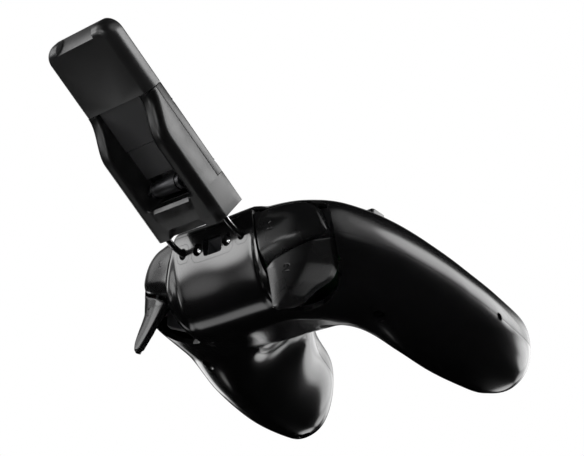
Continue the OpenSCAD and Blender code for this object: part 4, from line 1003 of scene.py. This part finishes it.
# outlines of the caps seen from behind, and the lines that shape their faces
B_UP = [(23.7, 58), (31, 58.7), (38.5, 58.9), (45.2, 58.1), (49.8, 55), (52.8, 49.9)]
B_LOW = [(29.0, 34.4), (34.6, 36.8), (40, 38.8), (45.5, 41), (50, 43), (54.2, 44.9)]
T_UP = [(x + (1.1 if x < 32 else 0.2), z - 1.4) for x, z in B_LOW]
T_LOW = [(39.2, 13.8), (42.8, 13.4), (46.2, 14.3), (48.8, 17), (50.6, 21), (53.2, 25.6)]
LOW_LINE = smooth_line(B_LOW, 60)
OUT_LINE = np.array([(52.9, 43), (52.6, 42), (51.6, 36), (50.4, 30), (49.2, 24), (47.2, 18), (45.2, 14.5),
                     (44.4, 12)])
IN_LINE = np.array([(30.1, 33.0), (39.2, 12.5)])


def bumper_face(x, z, e):
    d = line_distance(np.stack([x, z], 1), LOW_LINE)
    w = mix(5.2, 2.4, sm(30, 53, x))
    return rear_face(x, z) - roll_off(e, 0.75) - 0.42 * soft(w - d, 0.5)


def trigger_face(x, z, e):
    y = mix(rear_at(x) - 0.6, REAR + 3.4 - 0.15 * (x - 39.2), np.power(np.clip((32.5 - z) / 18, 0, 1), 1.25))
    p = np.stack([x, z], 1)
    side = np.interp(z, OUT_LINE[::-1, 1], OUT_LINE[::-1, 0]) - x
    inner = line_distance(p, IN_LINE)
    return y - roll_off(e, 0.8) - 0.95 * soft(2.6 - side, 0.35) - 0.25 * soft(4.5 - inner, 1.2)


def bumper_lugs(s):
    """The two arms of a bumper and the pins that they turn on."""
    y, z = BUMPER_PIN
    out = []
    for x0, p0 in ((31.0, 32.8), (47.3, 45.4)):
        f = float(rear_face(np.array([x0 + 1.0]), np.array([z]))[0]) - 1.6
        arm = [(y - 2.2, 50), (y - 2.2, 52.8), (y, 53.6), (f, 53.6), (f, 49.2), (y, 49.2)]
        out += [bar("lug", arm, *sorted((s * x0, s * (x0 + 1.9)))),
                rod("lug pin", 1.0, 0, 2.0, place(s * p0, y, z) @ turn(s * QUARTER, "Y"), 32)]
    return out


def trigger_webs(s):
    """The two webs of a trigger, each with an eye round its pin."""
    y, z = TRIGGER_PIN
    h, sides, out = PIN_R + 1.4, 32, []
    for x0 in (35.3, 43.1):
        f = float(rear_at(x0)) - 2.4
        lo, hi = sorted((s * x0, s * (x0 + 1.8)))
        round_eye = [(y + h * math.cos(2 * math.pi * k / sides), z + h * math.sin(2 * math.pi * k / sides))
                     for k in range(sides)]
        flat = [(y - 0.7 * h, z - 0.7 * h), (y + 0.8 * h, z + 0.6 * h), (f, 31.5), (f, 24)]
        web = carve(bar("eye", round_eye, lo, hi), bar("web", flat, lo + 1e-4, hi - 1e-4), "UNION")
        out.append(carve(web, rod("eye hole", PIN_R + 0.05, -1, 4, place(lo, y, z) @ turn(QUARTER, "Y"), 32)))
    return out


def swung(ob, pin, angle):
    """A copy of a cap turned about its pin, to cut the room it moves through."""
    c = ob.copy()
    c.data = ob.data.copy()
    bpy.context.scene.collection.objects.link(c)
    at = place(0, *pin)
    c.data.transform(at @ turn(math.radians(angle), "X") @ at.inverted())
    return c


for s, nm in SIDES:
    b = cap(nm + "_bumper_cap", s, B_UP, B_LOW, (1.7, 1.6, 1.2, 0.7), bumper_face, ONE, (33.2, 49.6))
    for q in bumper_lugs(s):
        carve(b, q, "UNION")
    sweep = [swung(b, BUMPER_PIN, a) for a in (-1.3, -2.7)]
    dress(smooth(b, 40), cap_black, nm + "_bumper_key", (nm + "_bumper",))
    t = cap(nm + "_trigger_cap", s, T_UP, T_LOW, (1.0, 1.2, 2.4, 1.0), trigger_face, TWO, (41.2, 30.8))
    for q in trigger_webs(s):
        carve(t, q, "UNION")
    for q in sweep:
        carve(t, q)
    dress(smooth(t, 40), cap_black, nm + "_trigger_key", (nm + "_trigger",))

# ----------------------------------------------------------- the phone clip
# Drawn upright from the middle of its foot: Z up its length, Y 0 at its back.
CLIP = place(0, 61.245, 51.2498) @ turn(math.radians(-51), "X")
HALF, DEEP, LONG = 20.0, 15.6, 56.6                   # half width, depth and height of the body
THIN, JAW_END, HOOK_HALF = 8.4, 88.4, 8.0             # depth of the jaw, its far end, its hooks
HOLD_Y, CLIP_R, RAIL_X, LIP_Z = -11.55, 3.6, 12.75, 13.7    # floor, back corners, recess
WIRE_IN = 4.5                                         # how far in from the back the legs enter
TONGUE_Y = (-11.5, -9.05)


def at_clip(ob):
    return settle(centred(ob), CLIP)


def clip_back(z):
    """Where the back lies: it runs in an easy S from the body to the jaw."""
    return -(DEEP - THIN) * sm(38, LONG, z)


def section(half, front, back, r, c, n=9):
    """A cross-section of the clip: big soft back corners, small front ones."""
    pts = []
    for s in (1, -1):
        corner = [(half - r + r * math.cos(a), back - r + r * math.sin(a))
                  for a in np.linspace(0, QUARTER, n)]
        low = [(half - c + c * math.sin(a), front + c - c * math.cos(a))
               for a in np.linspace(0, QUARTER, 4)]
        q = low + corner
        pts += q if s > 0 else [(-x, y) for x, y in q[::-1]]
    return pts


def rail_section(z, deep):
    """A cross-section of the lower clip with its recess between two rails.

    deep: -1 for no recess yet, 0 for its bevel alone and 1 for its full depth."""
    back, bevel, r = float(clip_back(z)), 1.25, 2.3
    into = min(max(z - LIP_Z, 0.0), r)
    w = RAIL_X - (r - math.sqrt(max(r * r - (r - into) ** 2, 0)))
    half = [(HALF, HOLD_Y)]
    half += [(HALF - CLIP_R * (1 - math.cos(a)), back - CLIP_R * (1 - math.sin(a)))
             for a in np.linspace(0, QUARTER, 11)]
    half += [(w + bevel * 1.35, back)]
    if deep < 0:
        half += [(w + bevel * 0.6, back)] * 2 + [(w, back)] * 2
    else:
        half += [(w + bevel * 0.8, back - 0.12), (w + bevel * 0.3, back - bevel * 0.42),
                 (w, back - bevel * 0.95), (w, HOLD_Y + 0.6 if deep else back - bevel)]
    return half + [(-x, y) for x, y in half[::-1]]


def loft(name, rows):
    """rows: (height, closed list of x, y points) with the same count in each."""
    v = [(x, y, z) for z, ring in rows for x, y in ring]
    return outward(make(name, v, closed_rings(len(rows), len(rows[0][1]))))


rows = [(z, rail_section(z, -1)) for z in (0.0, 4.0, 8.0, LIP_Z - 1.3)]
rows += [(LIP_Z, rail_section(LIP_Z, 0)), (LIP_Z + 0.01, rail_section(LIP_Z, 1))]
heights = [LIP_Z + 2.3 * (1 - math.cos(a)) for a in np.linspace(0.35, QUARTER, 7)]
heights += list(np.linspace(19, 37, 6)) + list(np.linspace(38, LONG, 27))
rows += [(z, rail_section(z, 1)) for z in heights]
body = loft("clip_case", rows)
carve(body, loft("foot", [(z, section(HALF, -DEEP, -6, 0.4, 0.9)) for z in (0, 13.9)]), "UNION")
shelf = [(1, 4), (-10.4, 4), (-11, 4.6), (-11, 9.4), (-10.4, 10), (-9.6, 10), (-9, 9.4), (-9, 7.5), (1, 7.5)]
carve(body, bar("shelf", [(y - DEEP, z) for y, z in shelf], -HOOK_HALF, HOOK_HALF), "UNION")
notch = [(-11.4, -1), (11.4, -1), (11.1, 0.6), (9.4, 3.7), (8.7, 4.1), (-8.7, 4.1), (-9.4, 3.7), (-11.1, 0.6)]
carve(body, prism("notch", notch, -2.8, 4, "y"))
for s, _ in SIDES:
    carve(body, rod("wire bore", WIRE_HOLE, -3, 19.9, place(s * WIRE_X, -WIRE_IN, 0), 32))
blunt(body, 0.3, 3, 42)
# room for the spring strip and for the tongue with its two arms
carve(body, block("floor room", -12.74, 12.74, -12.5, -10.9, 14.2, 61))
for s, _ in SIDES:
    carve(body, block("arm room", *sorted((s * 12.2, s * 16.65)), -11.9, TONGUE_Y[1] + 0.1, 8, 61))
at_clip(body)
dress(body, clip_grey, "clip", ("clip_body",))
plate = block("bridge_plate", -12.6, 12.6, -10.6, -9.5, 23.8, 37.6)
dress(at_clip(soften(plate, 0.22)), clip_inner, "clip")
face = loft("clip_front_plate", [(z, section(HALF, -DEEP, HOLD_Y - 0.05, 0.3, 1.0)) for z in (14.05, LONG)])
dress(at_clip(blunt(face, 0.12, 2, 50)), clip_grey, "clip", ("clip_face",))

# the sliding jaw
CORNER, JAW_BACK, JAW_FOOT, SCOOP_X = 6.3, THIN - DEEP, 56.9, 10.3


def rounded_plate(name, loop, y_front, y_back, r, chamfer, flat_below, segments):
    """A plate whose back rim is rounded with r and front rim with chamfer.

    loop: outline in (x, z), counter-clockwise seen from the front; where z is
    flat_below the rim stays square, as at the joint with the next part."""
    p = np.array(loop, float)
    t = np.roll(p, -1, 0) - np.roll(p, 1, 0)
    t /= np.linalg.norm(t, axis=1)[:, None]
    n = np.stack([-t[:, 1], t[:, 0]], 1)
    low = p[:, 1] < flat_below + 1e-3
    n[low, 1] = 0
    n[low, 0] = -np.sign(p[low, 0])
    rows = [(chamfer * (1 - math.sin(a)), y_front + chamfer * (1 - math.cos(a)))
            for a in np.linspace(0, QUARTER, 5)]
    rows += [(r * (1 - math.cos(a)), y_back - 1.35 * r * (1 - math.sin(a)))
             for a in np.linspace(0, QUARTER, segments)]
    v = [(x, y, z) for off, y in rows for x, z in p + n * off]
    return outward(make(name, v, closed_rings(len(rows), len(p))))


arc = [(HALF - CORNER + CORNER * math.cos(a), JAW_END - CORNER + CORNER * math.sin(a))
       for a in np.linspace(0, QUARTER, 24)]
edge = [(HALF, JAW_FOOT), (HALF, 62), (HALF, 70)] + arc + [(SCOOP_X, JAW_END)]
loop = edge + [(0, JAW_END)] + [(-x, z) for x, z in edge[::-1]] + [(0, JAW_FOOT)]
jaw = rounded_plate("jaw_case", loop, -DEEP, JAW_BACK, CLIP_R, 1.0, JAW_FOOT, 12)
scoop = bar("scoop", [(JAW_BACK + 1, JAW_END - 4.05), (JAW_BACK, JAW_END - 3.6), (1 - DEEP, JAW_END + 0.05),
                      (1 - DEEP, JAW_END + 3), (JAW_BACK + 1, JAW_END + 3)], -SCOOP_X, SCOOP_X)
v = np.array([q.co[:] for q in scoop.data.vertices])
v[:, 0] += np.sign(v[:, 0]) * 0.9 * MM * sm(JAW_BACK - 3, JAW_BACK + 1, v[:, 1] / MM + MIDDLE)
scoop.data.vertices.foreach_set("co", v.ravel())
carve(jaw, scoop)
hook = [(1, 76.1), (-9, 76.1), (-9, 74), (-9.5, 73.6), (-10.4, 73.6), (-11, 74.2), (-11, 79), (-10.4, 79.6),
        (1, 79.6)]
carve(jaw, bar("hook", [(y - DEEP, z) for y, z in hook], -HOOK_HALF, HOOK_HALF), "UNION")
blunt(jaw, 0.4, 4, 30)
at_clip(jaw)
dress(jaw, jaw_grey_lit_copy, "jaw", ("upper_jaw",))
tongue = block("tongue", -16.5, 16.5, *TONGUE_Y, 37.8, LONG)
for s, _ in SIDES:
    carve(tongue, block("arm", *sorted((s * 12.95, s * 16.5)), *TONGUE_Y, 10, 40), "UNION")
carve(tongue, block("root", -12, 12, -11.15, -9.75, 55, 65.6), "UNION")
soften(tongue, 0.18)
dress(at_clip(tongue), clip_inner, "jaw", ("jaw_tongue",))


def across(ob, y, z):
    """Turn a piece made about Z to lie along X at a place in the clip."""
    return settle(ob, CLIP @ shift(0, y, z) @ turn(QUARTER, "Y"))


DRUM_AT = (-6.7, 19.2)
roll = [(1.27, -8.7), (3.2, -8.7), (3.6, -8.4), (3.6, -7.9), (3.3, -7.7), (3.3, 7.7), (3.6, 7.9), (3.6, 8.4),
        (3.2, 8.7), (1.27, 8.7)]
drum = smooth(across(lathe("drum_roll", roll, 72, close=True), *DRUM_AT), 40)
dress(drum, strip_steel, "drum", ("spring_drum",))
wrap = [(3.31, -6.0), (3.62, -6.0), (3.66, -5.9), (3.66, 5.9), (3.62, 6.0), (3.31, 6.0)]
wrap = smooth(across(lathe("strip_wrap", wrap, 72, close=True), *DRUM_AT), 40)
dress(wrap, strip_steel, "drum")

# legs of bent wire, from inside the clip down into the two sockets
def in_clip(z):
    """A place in the middle of the clip, level with its wires."""
    return CLIP @ Vector((0, -WIRE_IN * MM, z * MM))


def drawn(x, v):
    """The same height and depth as a place, as millimetres of the drawing."""
    return x, v.y / MM + MIDDLE, v.z / MM


def wire_path(a, b, c, reach=0.0026):
    """A line from a to c that turns softly at b."""
    u, w = (a - b).normalized(), (c - b).normalized()
    p, q = b + u * reach, b + w * reach
    line = [a.lerp(p, k / 5) for k in range(6)]
    line += [p * (1 - t) ** 2 + b * 2 * t * (1 - t) + q * t * t for t in [k / 14 for k in range(1, 14)]]
    return line + [q.lerp(c, k / 5) for k in range(6)]


root = place(0, REAR, PORT_Z) @ Vector((0, -PRONG * math.cos(TILT) * MM, -PRONG * math.sin(TILT) * MM))
leg = wire_path(in_clip(19), in_clip(-4.6), root)
wires = [tube("leg", [drawn(s * WIRE_X, v) for v in leg], WIRE_R, 28) for s, _ in SIDES]
wires.append(tube("cross_bar", [drawn(x, in_clip(6.5)) for x in np.linspace(-WIRE_X, WIRE_X, 5)], 1.0))
dress(smooth(join("bent_legs", wires), 50), dark_steel, "clip", ("wire_legs",))

# ------------------------------------------------------- sticks, pad, buttons
def ribs(name, count, radius, size, mat, body, m):
    """Small ribs round a rim, placed by geometry nodes and kept as mesh."""
    g = bpy.data.node_groups.new(name + " ribs", "GeometryNodeTree")
    inputs = {"Count": ("Int", count), "Radius": ("Float", radius * MM),
              "Rib size": ("Vector", [q * MM for q in size]), "Finish": ("Material", mat)}
    for n, (kind, _) in inputs.items():
        g.interface.new_socket(n, in_out="INPUT", socket_type="NodeSocket" + kind)
    g.interface.new_socket("Geometry", in_out="OUTPUT", socket_type="NodeSocketGeometry")
    i, o = g.nodes.new("NodeGroupInput"), g.nodes.new("NodeGroupOutput")
    ring = node(g, "GeometryNodeMeshCircle", {"Vertices": i.outputs["Count"], "Radius": i.outputs["Radius"]})
    box = node(g, "GeometryNodeMeshCube", {"Size": i.outputs["Rib size"]})
    pos = node(g, "GeometryNodeInputPosition")
    aim = node(g, "FunctionNodeAlignEulerToVector", {"Vector": pos.outputs[0]}, axis="X")
    put = node(g, "GeometryNodeInstanceOnPoints", {"Points": ring.outputs[0], "Instance": box.outputs[0],
                                                   "Rotation": aim.outputs[0]})
    real = node(g, "GeometryNodeRealizeInstances", {0: put.outputs[0]})
    mt = node(g, "GeometryNodeSetMaterial", {0: real.outputs[0], "Material": i.outputs["Finish"]})
    g.links.new(mt.outputs[0], o.inputs[0])
    ob = make(name, [(0, 0, 0)], [], False)
    mod = ob.modifiers.new("ribs", "NODES")
    mod.node_group = g
    for s in g.interface.items_tree:
        if s.in_out == "INPUT":
            mod[s.identifier] = inputs[s.name][1]
    return dress(settle(bake(ob), m), mat, body)


angles = np.linspace(math.radians(12), math.radians(70), 24)
dome = [(q * math.sin(a), q * math.cos(a)) for q, row in ((DOME_R, angles), (DOME_R - 1.3, angles[::-1]))
        for a in row]
top_cap = [(0, -2.6), (1.5, -2.6), (1.5, 11.7), (3.6, 11.7), (3.6, 14.2), (4.2, 15.1), (8.4, 15.5),
           (9.0, 15.8), (9.15, 16.4), (8.95, 16.7), (8.95, 18.4), (9.15, 18.7), (9.1, 19.1), (8.7, 19.45),
           (8.1, 19.5), (7.6, 19.2), (7.0, 18.5), (5.5, 18.15), (3, 18.0), (0, 17.95)]
for s, nm in SIDES:
    at = place(s * STICK[0], STICK[1], STICK_Z)
    d = settle(lathe(nm + "_stick_dome", dome, 96, close=True), at)
    dress(smooth(d, 50), rubber, nm + "_thumb")
    c = settle(lathe(nm + "_stick_cap", top_cap, 96), at)
    dress(smooth(c, 42), rubber, nm + "_thumb", (nm + "_stick",))
    ribs(nm + "_stick_ribs", 60, 8.98, (0.5, 0.42, 1.6), rubber, nm + "_thumb",
         at @ shift(0, 0, 17.55))

DOME_TOP = 43.8                                       # top of the mats' rubber domes, under the keys


def drop_to(py, z):
    """Depth along the tilted face's own axis, down to a height."""
    return (z - FACE_Z - py * math.sin(LEAN)) / math.cos(LEAN)


for (px, py), (nm, colour, _), mat in zip(KEYS, BUTTONS, keys):
    up = face_rise(px, py)
    foot = drop_to(py, DOME_TOP + 1.5) - up
    crown = [(0, foot), (1.9, foot), (1.9, -6.5), (5.75, -6.5), (5.75, -5.5), (4.6, -5.5)]
    crown += [(4.6, 1.5), (4.56, 1.75), (4.42, 1.98), (4.2, 2.14), (3.8, 2.25), (2.6, 2.36), (1.2, 2.4),
              (0, 2.4)]
    k = settle(lathe("button_" + nm + "_cap", crown, 80), on_face(1) @ shift(px, py, up))
    dress(smooth(k, 46), mat, nm + "_key", ("button_" + nm,))

cross = centred(prism("direction_cross", cross_outline(22, 7.2, 1.2), -4.8, 2.0, "z"))
half_turn = np.linspace(0, math.pi, 60)
carve(cross, lathe("dish", [(12.7 * math.sin(a), 14 - 12.7 * math.cos(a)) for a in half_turn], 96))
blunt(cross, 0.35, 3, 40)
carve(cross, lathe("plate", [(0, -5.6), (12, -5.6), (12, -4.6), (0, -4.6)], 72), "UNION")
for x, y in ((8.5, 0), (-8.5, 0), (0, 8.5), (0, -8.5)):
    carve(cross, rod("stem", 1.5, drop_to(y, DOME_TOP + 1), -5.2, shift(x, y, 0), 32), "UNION")
flat = [(-1.8, -9.7), (1.8, -9.7), (1.8, -5.3), (-1.8, -5.3)]
for s, _ in SIDES:
    ear = centred(prism("ear", flat, *sorted((s * 2.6, s * 4.2)), "y"))
    carve(ear, rod("ear hole", 0.95, -6, 6, shift(0, 0, -8) @ turn(QUARTER, "X"), 32))
    carve(cross, ear, "UNION")
dress(settle(smooth(cross, 34), on_face(-1)), cap_black, "pad_key", ("direction_pad",))

for (x, y, r), nm in zip(SMALL, ("back", "start", "home")):
    z = top_z(x, y)
    stem = [(0, 44.8), (1.6, 44.8), (1.6, z - 4.6), (r + 1.1, z - 4.6), (r + 1.1, z - 3.6), (r, z - 3.6)]
    crown = [(r, z + 0.6), (r - 0.12, z + 0.85), (r - 0.4, z + 1.03), (r * 0.4, z + 1.1), (0, z + 1.1)]
    k = settle(lathe(nm + "_key_top", stem + crown, 72), place(x, y, 0))
    dress(smooth(k, 46), key_grey, nm + "_key", (nm + "_button",))

# case screws with a cross in the head
for i, (s, ((x, y), seat, _, _, tip)) in enumerate([(s, q) for s, _ in SIDES for q in SCREWS]):
    z = under_z(x, y) + seat
    profile = [(0, z - 1.7), (0.9, z - 1.68), (1.6, z - 1.5), (2.1, z - 1.1), (2.3, z - 0.5), (2.3, z),
               (1.4, z), (1.4, tip[0]), (0, tip[1])]
    head = settle(lathe("case_screw_%d" % i, profile, 48), place(s * x, y, 0))
    for a, b in ((1.3, 0.32), (0.32, 1.3)):
        arm = [(s * x - a, y - b), (s * x + a, y - b), (s * x + a, y + b), (s * x - a, y + b)]
        carve(head, prism("cross", arm, z - 1.9, z - 0.8, "z"))
    dress(smooth(head, 40), screw_steel, "controller", ("case_screws",) if i == 0 else ())

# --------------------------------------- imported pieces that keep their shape
PLAIN = ((inner_grey, "port_shroud left_bracket right_bracket pad_post left_stick_hub left_stick_frame "
                      "right_stick_hub right_stick_frame"),
         (steel, "left_trigger_pin right_trigger_pin left_trigger_spring right_trigger_spring clip_screws "
                 "pad_cross_shaft drum_pin spring_strip left_stick_yoke right_stick_yoke"),
         (rubber, "lower_pad face_pad upper_pad"), (mat_rubber, "right_mat left_mat middle_mat"),
         (key_grey, "back_button start_button home_button"), (cap_black, "direction_pad"),
         (port_metal, "charge_port"), (light_plastic, "light_bar"), (board_mask, "main_board"),
         (foil, "battery"), (screw_steel, "case_screws"), (keys[0], "button_near"), (keys[1], "button_far"),
         (keys[2], "button_inner"), (keys[3], "button_outer"))
for mat, names in PLAIN:
    for n in names.split():
        dress(NODES[n], mat)


# ------------------------------------------------------------- room and view
drop(core)
drop(hollow)
scene = bpy.context.scene
world = bpy.data.worlds.new("white room")
scene.world = world
world.use_nodes = True
wt = world.node_tree
wt.nodes.clear()
wo = wt.nodes.new("ShaderNodeOutputWorld")
path = wt.nodes.new("ShaderNodeLightPath")
see = node(wt, "ShaderNodeBackground", {"Color": (1, 1, 1, 1), "Strength": 1.0})
lit = node(wt, "ShaderNodeBackground", {"Color": (0.30, 0.30, 0.305, 1), "Strength": 1.0})
shine = maths(wt, "MAXIMUM", path.outputs["Is Glossy Ray"], path.outputs["Is Transmission Ray"])
seen = maths(wt, "MAXIMUM", path.outputs["Is Camera Ray"], shine)
pick = node(wt, "ShaderNodeMixShader", {0: seen, 1: lit.outputs[0], 2: see.outputs[0]})
wt.links.new(pick.outputs[0], wo.inputs[0])


MID = Vector((0, 0, 0.05))                            # the point that the lamps face


def heading(az, el):
    """The direction at an azimuth and a height, in degrees."""
    a, e = math.radians(az), math.radians(el)
    return Vector((math.cos(a) * math.cos(e), math.sin(a) * math.cos(e), math.sin(e)))


def lamp(name, az, el, wide, high, level, far=1.2, roll=0.0):
    """A softbox that faces the object; wide and high in degrees, level is its brightness."""
    light = bpy.data.lights.new(name, "AREA")
    light.shape = "RECTANGLE"
    size = [2 * far * math.tan(math.radians(q) / 2) for q in (wide, high)]
    light.size, light.size_y = size
    light.energy = math.pi * size[0] * size[1] * level
    o = bpy.data.objects.new(name, light)
    scene.collection.objects.link(o)
    o.location = heading(az, el) * far + MID
    o.rotation_euler = (heading(az, el) * far).to_track_quat("Z", "Y").to_euler()
    o.rotation_euler.rotate_axis("Z", math.radians(roll))
    o.visible_camera = o.visible_glossy = False


lamp("side softbox", -98, 3, 42, 46, 1.3)
lamp("long softbox", -138, 30, 62, 15, 3.4, roll=14)
lamp("top softbox", 20, 87, 26, 26, 9.0, 1.5)
lamp("edge light", 30, 14, 40, 34, 1.0)

# A dark canopy stands round the set and only reflections show it. The white
# room shows through its gaps. A gap with a level over 1 also glows by itself,
# because the softboxes don't show in reflections. Each gap:
# azimuth, height, half-angle of the clear part, half-angle of the rim, level
GAPS = [(-107, 3, 9, 18, 3.2), (-93, 10, 13, 24, 2.2), (-78, 12, 9, 20, 1.5), (-110, -8, 7, 13, 3.0),
        (-92, -12, 8, 14, 1.8), (-168, 40, 6, 15, 1.0), (-152, 31, 6, 12, 4.6), (-138, 28, 6, 13, 5.2),
        (-124, 26, 6, 13, 5.2), (-112, 24, 5, 11, 3.6), (-75, -30, 6, 13, 1.9), (8, 31, 6, 19, 0.7),
        (34, 32, 6, 15, 2.2), (41, 12, 7, 14, 3.4), (50, -10, 3, 11, 0.7), (19, 15, 3, 9, 0.5),
        (-20, -1, 7, 12, 1.6), (77, 3, 6, 11, 2.2), (92, -5, 6, 11, 2.4), (65, -20, 5, 10, 2.2),
        (-42, 30, 10, 24, 0.4),
        (58, 22, 8, 34, 0.45), (176, 42, 8, 30, 0.7), (11, -43, 4, 10, 1.0)]
CANOPY_R = 2200
ball = [(CANOPY_R * math.sin(a), CANOPY_R * math.cos(a)) for a in np.linspace(0, math.pi, 49)]
dark = settle(lathe("dark_canopy", ball, 96), Matrix.Translation(MID))


def see_through(t, amount, p):
    """A surface that fades to nothing where amount is 1."""
    clear = node(t, "ShaderNodeBsdfTransparent")
    return node(t, "ShaderNodeMixShader", {0: amount, 1: p.outputs[0], 2: clear.outputs[0]}).outputs[0]


def show(t, shader):
    """Put a shader in place of the one that the material shows."""
    out = [x for x in t.nodes if x.type == "OUTPUT_MATERIAL"][0]
    t.links.new(shader, out.inputs[0])


def canopy_build(t, p):
    p.inputs["Base Color"].default_value = (0.004, 0.004, 0.004, 1)
    p.inputs["Specular IOR Level"].default_value = 0.0
    p.inputs["Roughness"].default_value = 0.9
    way = node(t, "ShaderNodeVectorMath", {0: node(t, "ShaderNodeTexCoord").outputs["Object"]},
               operation="NORMALIZE")
    best = [0.0, 0.0]                                 # how clear and how bright each direction is
    for az, el, clear, rim, level in GAPS:
        dot = node(t, "ShaderNodeVectorMath", {0: way.outputs[0], 1: heading(az, el)},
                   operation="DOT_PRODUCT").outputs["Value"]
        start, full = [math.cos(math.radians(q)) for q in (rim, clear)]
        for i, top in enumerate((min(level, 1.0), max(level - 1, 0.0))):
            if top:
                gap = between(t, dot, start, full, 0.0, top, interpolation_type="SMOOTHSTEP")
                best[i] = maths(t, "MAXIMUM", gap, best[i])
    glow = node(t, "ShaderNodeEmission", {"Color": (1, 1, 1, 1), "Strength": best[1]})
    show(t, node(t, "ShaderNodeAddShader", {0: see_through(t, best[0], p), 1: glow.outputs[0]}).outputs[0])


dark.data.materials.append(surface("dark canopy", canopy_build))
for way in ("camera", "diffuse", "shadow", "transmission", "volume_scatter"):
    setattr(dark, "visible_" + way, False)

FLOOR = 900                                           # half its width
floor = make("floor", [(-FLOOR, -FLOOR, 0), (FLOOR, -FLOOR, 0), (FLOOR, FLOOR, 0), (-FLOOR, FLOOR, 0)],
             [(0, 1, 2, 3)], False)


def floor_build(t, p):
    p.inputs["Base Color"].default_value = (0.9, 0.9, 0.9, 1)
    cloud = noise(t, node(t, "ShaderNodeTexCoord").outputs["Object"], 60.0, 2.0)
    t.links.new(between(t, cloud, 0.0, 1.0, 0.55, 0.7), p.inputs["Roughness"])
    show(t, see_through(t, node(t, "ShaderNodeNewGeometry").outputs["Backfacing"], p))


floor.data.materials.append(surface("pale floor", floor_build))
floor.visible_glossy = False

cam = bpy.data.cameras.new("view")
cam.lens, cam.sensor_width, cam.sensor_fit = 110.59, 36.0, "HORIZONTAL"
cam.clip_start, cam.clip_end = 0.01, 20
camera = bpy.data.objects.new("view", cam)
scene.collection.objects.link(camera)
camera.matrix_world = Matrix(((-0.692264, -0.241696, -0.679966, -0.50942),
                              (-0.721171, 0.265838, 0.639721, 0.457551),
                              (0.026143, 0.933227, -0.358334, -0.19919), (0, 0, 0, 1)))
scene.camera = camera
scene.view_settings.view_transform = "Standard"
